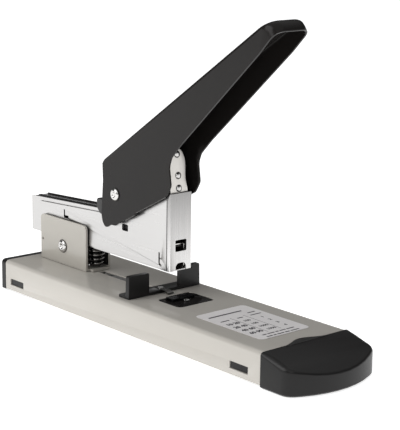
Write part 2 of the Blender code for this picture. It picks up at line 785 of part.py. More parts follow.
def nose_ring(back, inset_share, drop_share, wall=0.0):
    """Places round the nose, inset and dropped by shares of its edge's rounding, and by a wall."""
    ring = []
    for index, (skin_x, _) in enumerate(nose_outline(0.0, back)):
        radius = nose_edge_radius(skin_x)
        x, across = nose_outline(wall + radius * inset_share, back)[index]
        ring.append((x, across, nose_top(x) - wall - radius * drop_share))
    return ring


def nose_shape():
    """A hollow nose: rings from the inner roof down to the rim, then up the skin to the outer roof."""
    rear = BASE_LENGTH + GAP
    hollow_rear = rear + NOSE_WALL
    low = NOSE_BOTTOM
    places = [nose_ring(hollow_rear, 0.5, 0.0, NOSE_WALL), nose_ring(hollow_rear, 0.0, 0.5, NOSE_WALL)]
    for inset, back, height in (
        (NOSE_WALL, hollow_rear, low),
        (NOSE_TOE_RADIUS, rear, low),
        (0.0, rear, low + NOSE_TOE_RADIUS),
    ):
        places.append([(x, across, height) for x, across in nose_outline(inset, back)])
    for step in range(NOSE_EDGE_STEPS + 1):
        angle = math.pi / 2 * step / NOSE_EDGE_STEPS
        places.append(nose_ring(rear, 1 - math.cos(angle), 1 - math.sin(angle)))
    shape = bmesh.new()
    rings = [[shape.verts.new(spot) for spot in ring] for ring in places]
    for ring, after in zip(rings, rings[1:]):
        for index in range(len(ring)):
            beside = (index + 1) % len(ring)
            shape.faces.new((ring[index], ring[beside], after[beside], after[index]))
    for ring in (rings[0], rings[-1]):
        for index in range(len(ring) // 2 - 1):
            mirror = len(ring) - 1 - index
            shape.faces.new((ring[index], ring[index + 1], ring[mirror - 1], ring[mirror]))
    return shape


def foot_boss(x, across, bottom, top):
    """A round boss over a rubber foot."""
    return rod(FOOT_RADIUS + FOOT_BOSS_WALL, "z", (x, across, 0.0), bottom, top)


def foot_socket(x, across):
    """The recess that a rubber foot is pressed into: a wide mouth and a narrow bore."""
    profile = (
        (-OVERRUN, FOOT_RADIUS + GAP),
        (FOOT_THICKNESS + GAP, FOOT_RADIUS + GAP),
        (FOOT_THICKNESS + GAP, FOOT_STEM_RADIUS + GAP),
        (FOOT_THICKNESS + FOOT_STEM_LENGTH + GAP, FOOT_STEM_RADIUS + GAP),
    )
    return turned(profile, "z", (x, across, 0.0))


def add_cap_arms(cap, root_x, tip_x, window):
    """Two arms that slide inside the base channel, each with a catch in its window."""
    outer = BASE_WIDTH / 2 - BASE_SHEET - GAP
    sill = FLOOR_CLEARANCE + WINDOW_SILL + GAP
    lintel = sill + WINDOW_HEIGHT - 2 * GAP
    top = sheet_under - GAP - BASE_FOLD_RADIUS / 2
    for side in (-1, 1):
        across = sorted((side * outer, side * (outer - CAP_ARM_THICKNESS)))
        arm = block(sorted((root_x, tip_x)), across, (FLOOR_CLEARANCE, top))
        combine(cap, arm, "base", "UNION")
        catch = sorted((side * (outer - CAP_ARM_THICKNESS / 2), side * (outer + CATCH_DEPTH)))
        span = (window[0] + GAP, window[1] - GAP)
        combine(cap, block(span, catch, (sill, lintel)), "base", "UNION")


def build_nose_cap(plastic):
    """The rounded front cap with its tongue, arms and foot bosses."""
    cap = add_object("nose_cap", nose_shape(), "base", plastic)
    wall_x = BASE_LENGTH + GAP + NOSE_WALL / 2
    tongue = [(wall_x, -TONGUE_WIDTH / 2), *seam_curve(GAP), (wall_x, TONGUE_WIDTH / 2)]
    plate = prism(tongue, "z", sheet_under, base_top)
    combine(cap, plate, "base", "UNION")
    add_cap_arms(cap, wall_x, BASE_LENGTH - CAP_ARM_LENGTH, window_spans()[1])
    x = BASE_LENGTH + FOOT_INSET
    boss_top = nose_top(x + FOOT_RADIUS + FOOT_BOSS_WALL) - NOSE_WALL / 4
    for side in (-1, 1):
        across = side * foot_y
        combine(cap, foot_boss(x, across, NOSE_BOTTOM, boss_top), "base", "UNION")
        combine(cap, foot_socket(x, across), "base", "DIFFERENCE")


def build_rear_cap(plastic):
    """The thin rear cap: an end wall of the channel's section, with arms and a shelf for the feet."""
    half = BASE_WIDTH / 2
    corners = (
        (-half, REAR_CAP_BOTTOM, 0.0),
        (-half, base_top, BASE_FOLD_RADIUS),
        (half, base_top, BASE_FOLD_RADIUS),
        (half, REAR_CAP_BOTTOM, 0.0),
    )
    wall = prism(filleted(corners), "x", -REAR_CAP_THICKNESS, -GAP)
    cap = add_object("rear_cap", wall, "base", plastic)
    wall_x = -REAR_CAP_THICKNESS / 2
    add_cap_arms(cap, wall_x, CAP_ARM_LENGTH, window_spans()[0])
    inner = half - BASE_SHEET - GAP - CAP_ARM_THICKNESS / 2
    shelf_front = FOOT_INSET + FOOT_RADIUS + FOOT_BOSS_WALL
    shelf_top = FLOOR_CLEARANCE + FOOT_STEM_LENGTH + FOOT_BOSS_WALL
    shelf = block((wall_x, shelf_front), (-inner, inner), (REAR_CAP_BOTTOM, shelf_top))
    combine(cap, shelf, "base", "UNION")
    for side in (-1, 1):
        combine(cap, foot_socket(FOOT_INSET, side * foot_y), "base", "DIFFERENCE")


def build_feet(rubber):
    """Four rubber feet with stems; they carry the machine."""
    profile = (
        (0.0, FOOT_RADIUS - FOOT_THICKNESS / 4),
        (FOOT_THICKNESS / 4, FOOT_RADIUS),
        (FOOT_THICKNESS, FOOT_RADIUS),
        (FOOT_THICKNESS, FOOT_STEM_RADIUS),
        (FOOT_THICKNESS + FOOT_STEM_LENGTH, FOOT_STEM_RADIUS),
    )
    for end, x in (("front", BASE_LENGTH + FOOT_INSET), ("rear", FOOT_INSET)):
        for side, name in ((-1, "left"), (1, "right")):
            foot = turned(profile, "z", (x, side * foot_y, 0.0))
            add_object(f"rubber_foot_{end}_{name}", foot, "base", rubber)


def build_bracket(paint):
    """The stand: a U of sheet with rounded walls, a floor and a front tab under the lift spring."""
    half = BRACKET_WIDTH / 2
    front = BRACKET_REAR_X + BRACKET_LENGTH
    tab_front = front + BRACKET_TAB_LENGTH
    top = bracket_floor + BRACKET_HEIGHT
    side_view = filleted(
        (
            (BRACKET_REAR_X, bracket_floor, 0.0),
            (tab_front, bracket_floor, 0.0),
            (tab_front, bracket_floor_top, 0.0),
            (front, bracket_floor_top, 0.0),
            (front, top, BRACKET_CORNER_RADIUS),
            (BRACKET_REAR_X, top, BRACKET_CORNER_RADIUS),
        )
    )
    bracket = add_object("stand_bracket", prism(side_view, "y", -half, half), "base", paint)
    inner = half - BRACKET_SHEET
    length = (BRACKET_REAR_X - OVERRUN, tab_front + OVERRUN)
    trough = block(length, (-inner, inner), (bracket_floor_top, top + OVERRUN))
    combine(bracket, trough, "base", "DIFFERENCE")
    tab_half = BRACKET_TAB_WIDTH / 2
    depth = (bracket_floor - OVERRUN, bracket_floor_top + OVERRUN)
    for side in (-1, 1):
        across = sorted((side * tab_half, side * (half + OVERRUN)))
        beside = block((front, tab_front + OVERRUN), across, depth)
        combine(bracket, beside, "base", "DIFFERENCE")
    reach = (-half - OVERRUN, half + OVERRUN)
    pivot_hole = rod(PIVOT_PIN_RADIUS + RIVET_PLAY, "y", (PIVOT_X, 0.0, pivot_z), *reach)
    combine(bracket, pivot_hole, "base", "DIFFERENCE")
    peep = (BRACKET_REAR_X + BRACKET_PEEP_INSET, 0.0, bracket_floor + BRACKET_PEEP_HEIGHT)
    combine(bracket, rod(BRACKET_PEEP_RADIUS, "y", peep, *reach, SMALL_SIDES), "base", "DIFFERENCE")
    for x in bracket_rivet_places():
        hole = rod(BRACKET_RIVET_RADIUS + RIVET_PLAY, "z", (x, 0.0, 0.0), *depth, SMALL_SIDES)
        combine(bracket, hole, "base", "DIFFERENCE")


def build_bracket_rivets(steel):
    """Rivets through the bracket's floor and the base top."""
    span = (sheet_under - GAP, bracket_floor_top + GAP)
    profile = rivet_profile(BRACKET_RIVET_RADIUS, BRACKET_RIVET_HEAD_RADIUS, BRACKET_RIVET_HEAD, *span)
    for name, x in zip(("rear", "front"), bracket_rivet_places()):
        add_object(f"bracket_rivet_{name}", turned(profile, "z", (x, 0.0, 0.0), SMALL_SIDES), "base", steel)


def build_head_pivot(steel):
    """The rivet that the head tilts on, and the bush around it between the ears."""
    centre = (PIVOT_X, 0.0, pivot_z)
    reach = BRACKET_WIDTH / 2 + GAP
    profile = rivet_profile(PIVOT_PIN_RADIUS, PIVOT_HEAD_RADIUS, PIVOT_HEAD_DOME, -reach, reach)
    add_object("head_pivot_pin", turned(profile, "y", centre), "base", steel)
    half = plate_inner - GAP
    bore = PIVOT_PIN_RADIUS + RIVET_PLAY
    add_object("pivot_bush", tube(bore + BUSH_WALL, bore, "y", centre, -half, half), "head", steel)


def build_lift_spring(steel):
    """A tapered spring, wide at the top, that holds the head up."""
    wire = LIFT_SPRING_WIRE
    low = bracket_floor_top + GAP + wire / 2
    high = head_bottom - GAP - wire / 2
    place = upright_spring(LIFT_SPRING_X, low, high, LIFT_SPRING_FOOT_RADIUS, LIFT_SPRING_TOP_RADIUS)
    spring_wire("lift_spring", "base", steel, wire, LIFT_SPRING_CURLS, place, 10)


# Anvil


def build_anvil(black, steel):
    """The black plate let into the base top, the raised die with two pockets, and its screw."""
    top = base_top - ANVIL_RECESS
    bottom = top - ANVIL_THICKNESS
    plate = add_object("anvil_plate", prism(anvil_outline(), "z", bottom, top), "base", black)
    half_x = DIE_LENGTH / 2
    half_y = DIE_WIDTH / 2
    sink = top - DIE_SINK
    die_spans = ((STAPLE_LINE_X - half_x, STAPLE_LINE_X + half_x), (-half_y, half_y))
    seat = [(low - GAP, high + GAP) for low, high in die_spans]
    combine(plate, block(*seat, (sink - GAP, top + OVERRUN)), "base", "DIFFERENCE")
    die_top = base_top + DIE_RISE
    outline = filleted(rectangle(*die_spans, DIE_POCKET_WIDTH / 2))
    die = add_object("clinch_die", prism(outline, "z", sink, die_top), "base", steel)
    for side in (-1, 1):
        middle = side * DIE_POCKET_SPACING / 2
        across = (middle - DIE_POCKET_LENGTH / 2, middle + DIE_POCKET_LENGTH / 2)
        along = (blade_rear_x - DIE_POCKET_WIDTH / 4, blade_rear_x + DIE_POCKET_WIDTH)
        outline = filleted(rectangle(along, across, DIE_POCKET_WIDTH / 2), steps=3)
        pocket = prism(outline, "z", die_top - DIE_POCKET_DEPTH, die_top + OVERRUN)
        combine(die, pocket, "base", "DIFFERENCE")
    centre = (STAPLE_LINE_X + ANVIL_SCREW_SETBACK, 0.0, 0.0)
    drill = rod(ANVIL_SCREW_RADIUS + GAP, "z", centre, bottom - OVERRUN, top + OVERRUN, SMALL_SIDES)
    combine(plate, drill, "base", "DIFFERENCE")
    head_low = top + GAP
    profile = (
        (bottom - SUPPORT_SHEET, ANVIL_SCREW_RADIUS),
        (head_low, ANVIL_SCREW_RADIUS),
        (head_low, ANVIL_SCREW_HEAD_RADIUS),
        (head_low + ANVIL_SCREW_HEAD / 2, ANVIL_SCREW_HEAD_RADIUS),
        (head_low + ANVIL_SCREW_HEAD, ANVIL_SCREW_HEAD_RADIUS / 2),
    )
    screw = add_object("anvil_screw", turned(profile, "z", centre, SMALL_SIDES), "base", steel)
    reach = ANVIL_SCREW_HEAD_RADIUS + OVERRUN
    slot = block(
        (centre[0] - reach, centre[0] + reach),
        (-ANVIL_SCREW_SLOT / 2, ANVIL_SCREW_SLOT / 2),
        (head_low + ANVIL_SCREW_HEAD / 2, head_low + ANVIL_SCREW_HEAD + OVERRUN),
    )
    combine(screw, slot, "base", "DIFFERENCE")


def build_anvil_support(steel):
    """The folded saddle inside the base that carries the anvil down to the base's lower edge."""
    top = base_top - ANVIL_RECESS - ANVIL_THICKNESS - GAP
    section = arch_section(SUPPORT_WIDTH / 2, top, FLOOR_CLEARANCE, SUPPORT_SHEET, SUPPORT_SHEET * 2)
    start = anvil_centre_x - SUPPORT_LENGTH / 2
    saddle = prism(section, "x", start, start + SUPPORT_LENGTH)
    support = add_object("anvil_support", saddle, "base", steel)
    centre = (STAPLE_LINE_X + ANVIL_SCREW_SETBACK, 0.0, 0.0)
    depth = (top - SUPPORT_SHEET - OVERRUN, top + OVERRUN)
    drill = rod(ANVIL_SCREW_RADIUS + GAP, "z", centre, *depth, SMALL_SIDES)
    combine(support, drill, "base", "DIFFERENCE")


def build_label(paper):
    """The label for a plain ruled table on the base top."""
    rear = anvil_centre_x + ANVIL_LENGTH / 2 + ANVIL_TO_LABEL
    spans = ((rear, BASE_LENGTH - LABEL_INSET), (-LABEL_WIDTH / 2, LABEL_WIDTH / 2))
    low = base_top + LABEL_GLUE
    outline = filleted(rectangle(*spans, LABEL_CORNER_RADIUS))
    add_object("size_label", prism(outline, "z", low, low + LABEL_THICKNESS), "base", paper)


# Paper guide


def upright_outline(side, dip):
    """One upright of the paper guide, seen from the front, with or without a dip in its top."""
    outer = GUIDE_WIDTH / 2
    top = guide_bottom + UPRIGHT_HEIGHT
    corners = [
        (UPRIGHT_INNER, guide_bottom, 0.0),
        (outer, guide_bottom, 0.0),
        (outer - UPRIGHT_ROUNDING / 2, top, UPRIGHT_ROUNDING),
    ]
    if dip:
        inner = UPRIGHT_INNER + DIP_INSET
        corners += [
            (inner + DIP_WIDTH, top, UPRIGHT_ROUNDING),
            (inner + DIP_WIDTH, top - DIP_DEPTH, UPRIGHT_ROUNDING),
            (inner, top - DIP_DEPTH, UPRIGHT_ROUNDING),
            (inner, top, UPRIGHT_ROUNDING),
        ]
    corners.append((UPRIGHT_INNER, top, UPRIGHT_ROUNDING))
    return [(side * across, height) for across, height in filleted(corners, steps=2)]


def build_paper_guide(plastic):
    """The sliding paper stop: a flat flange across the base with two uprights at its front."""
    half = GUIDE_WIDTH / 2
    rear = guide_front_x - GUIDE_DEPTH
    flange = block((rear, guide_front_x), (-half, half), (guide_bottom, guide_flange_top))
    guide = add_object("paper_guide", flange, "guide", plastic)
    for side, dip in ((-1, False), (1, True)):
        outline = upright_outline(side, dip)
        upright = prism(outline, "x", guide_front_x - UPRIGHT_THICKNESS, guide_front_x)
        combine(guide, upright, "guide", "UNION")
    seat_rear = guide_front_x - CLIP_TAIL - GAP
    seat_half = CLIP_WIDTH / 2 + GAP
    seat_depth = (guide_flange_top - CLIP_SHEET - GAP, guide_flange_top + OVERRUN)
    seat = block((seat_rear, guide_front_x + OVERRUN), (-seat_half, seat_half), seat_depth)
    combine(guide, seat, "guide", "DIFFERENCE")
    depth = (guide_bottom - OVERRUN, guide_flange_top)
    drill = rod(GUIDE_RIVET_RADIUS + GAP, "z", (guide_rivet_x, 0.0, 0.0), *depth, SMALL_SIDES)
    combine(guide, drill, "guide", "DIFFERENCE")


def build_guide_strip(steel):
    """The strip that rides in the base slot under the guide, held in by its wider foot."""
    rear = GUIDE_SLOT_REAR_X + STRIP_REAR_GAP
    front = guide_front_x - UPRIGHT_THICKNESS / 2 - GAP
    half = GUIDE_SLOT_WIDTH / 2 - GAP
    foot_half = STRIP_FOOT_WIDTH / 2
    foot_top = sheet_under - GAP
    foot_low = foot_top - STRIP_FOOT_THICKNESS
    section = (
        (-foot_half, foot_low),
        (foot_half, foot_low),
        (foot_half, foot_top),
        (half, foot_top),
        (half, foot_top + STRIP_RISE),
        (-half, foot_top + STRIP_RISE),
        (-half, foot_top),
        (-foot_half, foot_top),
    )
    strip = add_object("guide_slide_strip", prism(section, "x", rear, front), "guide", steel)
    depth = (foot_low - OVERRUN, foot_top + STRIP_RISE + OVERRUN)
    drill = rod(GUIDE_RIVET_RADIUS + GAP, "z", (guide_rivet_x, 0.0, 0.0), *depth, SMALL_SIDES)
    combine(strip, drill, "guide", "DIFFERENCE")


def build_guide_rail(steel):
    """The small trough under the base top that keeps the strip level."""
    foot_low = sheet_under - GAP - STRIP_FOOT_THICKNESS
    sheet = GUIDE_RAIL_SHEET
    section = trough_section(GUIDE_RAIL_WIDTH / 2, foot_low - GAP - sheet, sheet_under - GAP, sheet, sheet)
    front = anvil_centre_x - SUPPORT_LENGTH / 2 - GAP
    rear = GUIDE_SLOT_REAR_X - GUIDE_RAIL_OVERLAP
    add_object("guide_rail", prism(section, "x", rear, front), "base", steel)


def build_guide_clip(steel):
    """The spring clip on the guide's flange: a flat leaf that dips over the front edge to the base."""
    top = guide_flange_top
    low = guide_bottom
    front = guide_front_x
    sheet = CLIP_SHEET
    corners = (
        (front - CLIP_TAIL, top - sheet, 0.0),
        (front - CLIP_TAIL, top, 0.0),
        (front + CLIP_REACH / 2, top, sheet),
        (front + CLIP_REACH, low + 2 * sheet, sheet),
        (front + CLIP_REACH + sheet, low, sheet / 4),
        (front + CLIP_REACH - sheet, low, sheet / 4),
        (front + CLIP_REACH / 2 - sheet, top - sheet, sheet),
    )
    half = CLIP_WIDTH / 2
    leaf = prism(filleted(corners, steps=3), "y", -half, half)
    clip = add_object("guide_spring_clip", leaf, "guide", steel)
    drill = rod(GUIDE_RIVET_RADIUS + GAP, "z", (guide_rivet_x, 0.0, 0.0), low, top + OVERRUN, SMALL_SIDES)
    combine(clip, drill, "guide", "DIFFERENCE")


def build_guide_rivet(steel):
    """The rivet through clip, guide and strip."""
    strip_low = sheet_under - GAP - STRIP_FOOT_THICKNESS
    head_low = guide_flange_top + GAP / 3
    profile = (
        (strip_low, GUIDE_RIVET_RADIUS),
        (head_low, GUIDE_RIVET_RADIUS),
        (head_low, GUIDE_RIVET_HEAD_RADIUS),
        (head_low + GUIDE_RIVET_HEAD / 2, GUIDE_RIVET_HEAD_RADIUS),
        (head_low + GUIDE_RIVET_HEAD, GUIDE_RIVET_HEAD_RADIUS / 2),
    )
    rivet = turned(profile, "z", (guide_rivet_x, 0.0, 0.0), SMALL_SIDES)
    add_object("guide_rivet", rivet, "guide", steel)


# Head


def plate_outline():
    """A side plate from the side: a straight lower edge with an ear round the head's hinge, a top edge
    that climbs gently to the saddle, rises round the handle's hinge and ends at the column."""
    ear_low = pivot_z - EAR_MARGIN
    ear = EAR_WIDTH / 2
    saddle_top = head_bottom + PLATE_SADDLE_HEIGHT
    crest = hinge_z + HANDLE_PIN_HEAD_RADIUS + EAR_MARGIN
    shoulder = HANDLE_PIN_HEAD_RADIUS + EAR_MARGIN
    rise_x = saddle_front_x + GAP
    return filleted(
        (
            (PLATE_REAR_X, plate_bottom, 0.0),
            (PIVOT_X - ear, plate_bottom, EAR_RADIUS / 4),
            (PIVOT_X - ear, ear_low, EAR_RADIUS),
            (PIVOT_X + ear, ear_low, EAR_RADIUS),
            (PIVOT_X + ear, plate_bottom, EAR_RADIUS / 4),
            (plate_front_x, plate_bottom, 0.0),
            (plate_front_x, head_bottom + PLATE_FRONT_HEIGHT, 0.0),
            (HANDLE_HINGE_X + 2 * shoulder, hinge_z, EAR_RADIUS),
            (HANDLE_HINGE_X + shoulder, crest, EAR_RADIUS),
            (HANDLE_HINGE_X - shoulder / 2, crest, EAR_RADIUS),
            (rise_x + OVERRUN, saddle_top + shoulder, EAR_RADIUS),
            (rise_x, saddle_top, 0.0),
            (SADDLE_X, saddle_top, 0.0),
            (PLATE_REAR_X, head_bottom + PLATE_REAR_HEIGHT, 0.0),
        )
    )


def stamp_openings(plate, reach):
    """Cuts the small stamped openings through a side plate or the magazine channel."""
    hook_low = head_bottom + HOOK_SLOT_TOP - HOOK_SLOT_HEIGHT
    width = SLOT_WIDTH
    hook_left = HOOK_SLOT_X - width / 2
    hook = (
        (hook_left, hook_low),
        (hook_left + HOOK_SLOT_FOOT, hook_low),
        (hook_left + HOOK_SLOT_FOOT, hook_low + HOOK_SLOT_FOOT_HEIGHT),
        (hook_left + width, hook_low + HOOK_SLOT_FOOT_HEIGHT),
        (hook_left + width, head_bottom + HOOK_SLOT_TOP),
        (hook_left, head_bottom + HOOK_SLOT_TOP),
    )
    combine(plate, prism(hook, "y", *reach), "head", "DIFFERENCE")
    square_low = head_bottom + SQUARE_HOLE_SILL
    square_left = SQUARE_HOLE_X - SQUARE_HOLE_LENGTH / 2
    spans = ((square_left, square_left + SQUARE_HOLE_LENGTH), (square_low, square_low + SQUARE_HOLE_HEIGHT))
    window = filleted(rectangle(*spans, width / 2), steps=2)
    combine(plate, prism(window, "y", *reach), "head", "DIFFERENCE")
    latch_x = STAPLE_LINE_X - LATCH_SLOT_INSET
    latch_low = head_bottom + LATCH_SLOT_FOOT_HEIGHT
    latch_top = latch_low + LATCH_SLOT_HEIGHT
    tick_low = latch_low + LATCH_SLOT_HEIGHT * LATCH_TICK_SHARE
    latch = (
        (latch_x, latch_low + width),
        (latch_x + LATCH_SLOT_TICK, latch_low),
        (latch_x + LATCH_SLOT_TICK, latch_low + width),
        (latch_x + width, latch_low + 2 * width),
        (latch_x + width, tick_low),
        (latch_x + LATCH_SLOT_TICK, tick_low),
        (latch_x + LATCH_SLOT_TICK, tick_low + width / 2),
        (latch_x + width, tick_low + width / 2),
        (latch_x + width, latch_top),
        (latch_x, latch_top),
    )
    combine(plate, prism(latch, "y", *reach), "head", "DIFFERENCE")


def build_side_plates(chrome):
    """The two side plates of the head."""
    outline = plate_outline()
    for side, name in ((-1, "left"), (1, "right")):
        span = sorted((side * plate_inner, side * plate_outer))
        plate = add_object(f"side_plate_{name}", prism(outline, "y", *span), "head", chrome)
        reach = (span[0] - OVERRUN, span[1] + OVERRUN)
        pivot_hole = rod(PIVOT_PIN_RADIUS + RIVET_PLAY, "y", (PIVOT_X, 0.0, pivot_z), *reach)
        combine(plate, pivot_hole, "head", "DIFFERENCE")
        hinge_hole = rod(HANDLE_PIN_RADIUS + RIVET_PLAY, "y", (HANDLE_HINGE_X, 0.0, hinge_z), *reach)
        combine(plate, hinge_hole, "head", "DIFFERENCE")
        stamp_openings(plate, reach)


def build_column(chrome):
    """The front column: a folded cover round the ends of the side plates, with a port and an arch."""
    half = COLUMN_WIDTH / 2
    inner = half - COLUMN_SHEET
    rear = STAPLE_LINE_X - COLUMN_FLANGE
    fold = COLUMN_FOLD_RADIUS
    inner_fold = fold - COLUMN_SHEET
    outline = filleted(
        (
            (rear, -half, 0.0),
            (STAPLE_LINE_X, -half, fold),
            (STAPLE_LINE_X, half, fold),
            (rear, half, 0.0),
            (rear, inner, 0.0),
            (column_inner_x, inner, inner_fold),
            (column_inner_x, -inner, inner_fold),
            (rear, -inner, 0.0),
        )
    )
    column = add_object("column_cover", prism(outline, "z", plate_bottom, column_top), "head", chrome)
    reach = (column_inner_x - OVERRUN, STAPLE_LINE_X + OVERRUN)
    sill = plate_bottom + PORT_SILL
    spans = ((-PORT_WIDTH / 2, PORT_WIDTH / 2), (sill, sill + PORT_HEIGHT))
    port = filleted(rectangle(*spans, SLOT_WIDTH / 2), steps=2)
    combine(column, prism(port, "x", *reach), "head", "DIFFERENCE")
    arch = filleted(
        (
            (-ARCH_RADIUS, plate_bottom - OVERRUN, 0.0),
            (ARCH_RADIUS, plate_bottom - OVERRUN, 0.0),
            (ARCH_RADIUS, plate_bottom + ARCH_RISE + ARCH_RADIUS, ARCH_RADIUS),
            (-ARCH_RADIUS, plate_bottom + ARCH_RISE + ARCH_RADIUS, ARCH_RADIUS),
        )
    )
    combine(column, prism(arch, "x", *reach), "head", "DIFFERENCE")


def channel_outline():
    """The magazine channel's wall from the side; it sticks out behind the side plates."""
    step_x = saddle_front_x + GAP
    return (
        (channel_rear_x, head_bottom),
        (plate_front_x, head_bottom),
        (plate_front_x, channel_front_top),
        (step_x + CHANNEL_STEP_LENGTH, channel_front_top),
        (step_x, head_bottom + CHANNEL_SADDLE_HEIGHT),
        (SADDLE_X, head_bottom + CHANNEL_SADDLE_HEIGHT),
        (channel_rear_x, head_bottom + CHANNEL_REAR_HEIGHT),
    )


def build_magazine(chrome, steel):
    """The channel, the rail inside it, the end plate and the lid over the staples."""
    half = CHANNEL_WIDTH / 2
    floor = block((channel_rear_x, plate_front_x), (-half, half), (head_bottom, channel_floor_top))
    channel = add_object("magazine_channel", floor, "head", chrome)
    for side in (-1, 1):
        wall = sorted((side * half, side * channel_inner))
        combine(channel, prism(channel_outline(), "y", *wall), "head", "UNION")
    stamp_openings(channel, (-half - OVERRUN, half + OVERRUN))
    section = arch_section(RAIL_WIDTH / 2, rail_top, rail_bottom, RAIL_SHEET, RAIL_SHEET)
    add_object("core_rail", prism(section, "x", rail_rear_x, plate_front_x), "head", steel)
    end_x = channel_rear_x + GAP
    end_half = channel_inner - GAP
    end_top = head_bottom + CHANNEL_REAR_HEIGHT - COVER_RECESS - COVER_LIP - GAP
    end = block((end_x, end_x + END_PLATE_THICKNESS), (-end_half, end_half), (rail_bottom, end_top))
    plate = add_object("magazine_end_plate", end, "head", steel)
    rod_centre = (0.0, 0.0, head_bottom + ROD_HEIGHT)
    reach = (end_x - OVERRUN, end_x + END_PLATE_THICKNESS + OVERRUN)
    combine(plate, rod(ROD_RADIUS + GAP, "x", rod_centre, *reach, SMALL_SIDES), "head", "DIFFERENCE")
    lid_rear = saddle_front_x + GAP + CHANNEL_STEP_LENGTH + OVERRUN
    lid = block((lid_rear, plate_front_x - GAP), (-half, half), (lid_bottom, lid_top))
    add_object("magazine_lid", lid, "head", steel)


def build_staples(steel):
    """The strip of glued staples that straddles the front of the rail."""
    half = channel_inner - GAP
    crown = rail_top + GAP + STAPLE_WIRE
    section = arch_section(half, crown, crown - STAPLE_LEG, STAPLE_WIRE, STAPLE_WIRE / 2)
    add_object("staple_strip", prism(section, "x", strip_rear_x, plate_front_x), "head", steel)


def build_follower(plastic, steel):
    """The follower that pushes the staples, the rod it runs along and its spring."""
    half = channel_inner - GAP
    rod_z = head_bottom + ROD_HEIGHT
    top = rod_z + ROD_RADIUS + GAP + STAPLE_WIRE
    straddle = RAIL_WIDTH / 2 + GAP
    low = rail_top + GAP - STAPLE_LEG + STAPLE_WIRE
    section = (
        (-half, low),
        (-half, top),
        (half, top),
        (half, low),
        (straddle, low),
        (straddle, rail_top + GAP),
        (-straddle, rail_top + GAP),
        (-straddle, low),
    )
    span = (follower_rear_x, follower_rear_x + FOLLOWER_LENGTH)
    follower = add_object("staple_follower", prism(section, "x", *span), "follower", plastic)
    centre = (0.0, 0.0, rod_z)
    drill = rod(ROD_RADIUS + GAP, "x", centre, span[0] - OVERRUN, span[1] + OVERRUN, SMALL_SIDES)
    combine(follower, drill, "follower", "DIFFERENCE")
    guide = rod(ROD_RADIUS, "x", centre, channel_rear_x + GAP, span[1], SMALL_SIDES)
    add_object("follower_rod", guide, "head", steel)
    low_x = rail_rear_x + FOLLOWER_SPRING_WIRE
    high_x = follower_rear_x - GAP - FOLLOWER_SPRING_WIRE

    def place(share):
        spot = Vector((low_x + (high_x - low_x) * share, 0.0, rod_z))
        return spot, FOLLOWER_SPRING_RADIUS, Vector((0.0, 1.0, 0.0)), Vector((0.0, 0.0, 1.0))

    wire = FOLLOWER_SPRING_WIRE
    spring_wire("follower_spring", "follower", steel, wire, FOLLOWER_SPRING_CURLS, place, 8)


def cover_edge(x):
    """The height of the magazine channel's top edge under the cover."""
    share = (x - channel_rear_x) / (SADDLE_X - channel_rear_x)
    return head_bottom + CHANNEL_REAR_HEIGHT + (CHANNEL_SADDLE_HEIGHT - CHANNEL_REAR_HEIGHT) * share


def slanted_strip(y_range, low, high, beyond=0.0):
    """A strip along the cover, from low to high above the channel's top edge."""
    rear = channel_rear_x - beyond
    front = SADDLE_X - GAP + beyond
    outline = (
        (rear, cover_edge(rear) + low),
        (front, cover_edge(front) + low),
        (front, cover_edge(front) + high),
        (rear, cover_edge(rear) + high),
    )
    return prism(outline, "y", *y_range)


def build_top_cover(plastic):
    """The loading cover: a flat strip between the channel's walls, two lips below it and a rib on top."""
    half = channel_inner - GAP
    top = -COVER_RECESS
    bottom = top - COVER_THICKNESS
    cover = add_object("top_cover", slanted_strip((-half, half), top - COVER_LIP, top), "cover", plastic)
    lip = half - COVER_THICKNESS
    gutter = slanted_strip((-lip, lip), top - COVER_LIP - OVERRUN, bottom, OVERRUN)
    combine(cover, gutter, "cover", "DIFFERENCE")
    rib = COVER_RIB_WIDTH / 2
    strip = slanted_strip((-rib, rib), top - COVER_THICKNESS / 2, top + COVER_RIB_HEIGHT)
    combine(cover, strip, "cover", "UNION")


def build_saddle(plastic):
    """The block that straddles the head behind the handle."""
    bridge = head_bottom + CHANNEL_SADDLE_HEIGHT + 2 * GAP
    low = bridge - SADDLE_SKIRT
    top = low + SADDLE_HEIGHT
    outline = filleted(
        (
            (SADDLE_X, low + SADDLE_CHAMFER, 0.0),
            (SADDLE_X + SADDLE_CHAMFER, low, 0.0),
            (saddle_front_x, low, 0.0),
            (saddle_front_x, top, 0.0),
            (SADDLE_X, top, SADDLE_CHAMFER / 2),
        )
    )
    inner = plate_outer + GAP
    half = inner + SADDLE_WALL
    saddle = add_object("saddle_block", prism(outline, "y", -half, half), "head", plastic)
    span = (SADDLE_X - OVERRUN, saddle_front_x + OVERRUN)
    combine(saddle, block(span, (-inner, inner), (low - OVERRUN, bridge)), "head", "DIFFERENCE")


# Driver


def blade_lean(z):
    """How far back the blade stands at a height: above its bend it leans back."""
    return math.tan(BLADE_LEAN) * max(z - head_bottom - BLADE_BEND_HEIGHT, 0.0)


def blade_shape():
    """The blade as rings from its foot to its tip: straight below, then bent back, waisted and round."""
    foot = head_bottom + BLADE_REST_HEIGHT
    rise = head_bottom + BLADE_TOP_HEIGHT - column_top
    half = BLADE_WIDTH / 2
    half_top = BLADE_TOP_WIDTH / 2
    levels = [(foot, half), (head_bottom + BLADE_BEND_HEIGHT, half)]
    levels += [(column_top + rise * height, half_top * width) for height, width in BLADE_TOP_SHARES]
    shape = bmesh.new()
    rings = []
    for z, reach in levels:
        back = blade_rear_x - blade_lean(z)
        front = blade_front_x - blade_lean(z)
        ring = ((back, -reach), (front, -reach), (front, reach), (back, reach))
        rings.append([shape.verts.new((x, across, z)) for x, across in ring])
    join_rings(shape, rings)
    return shape


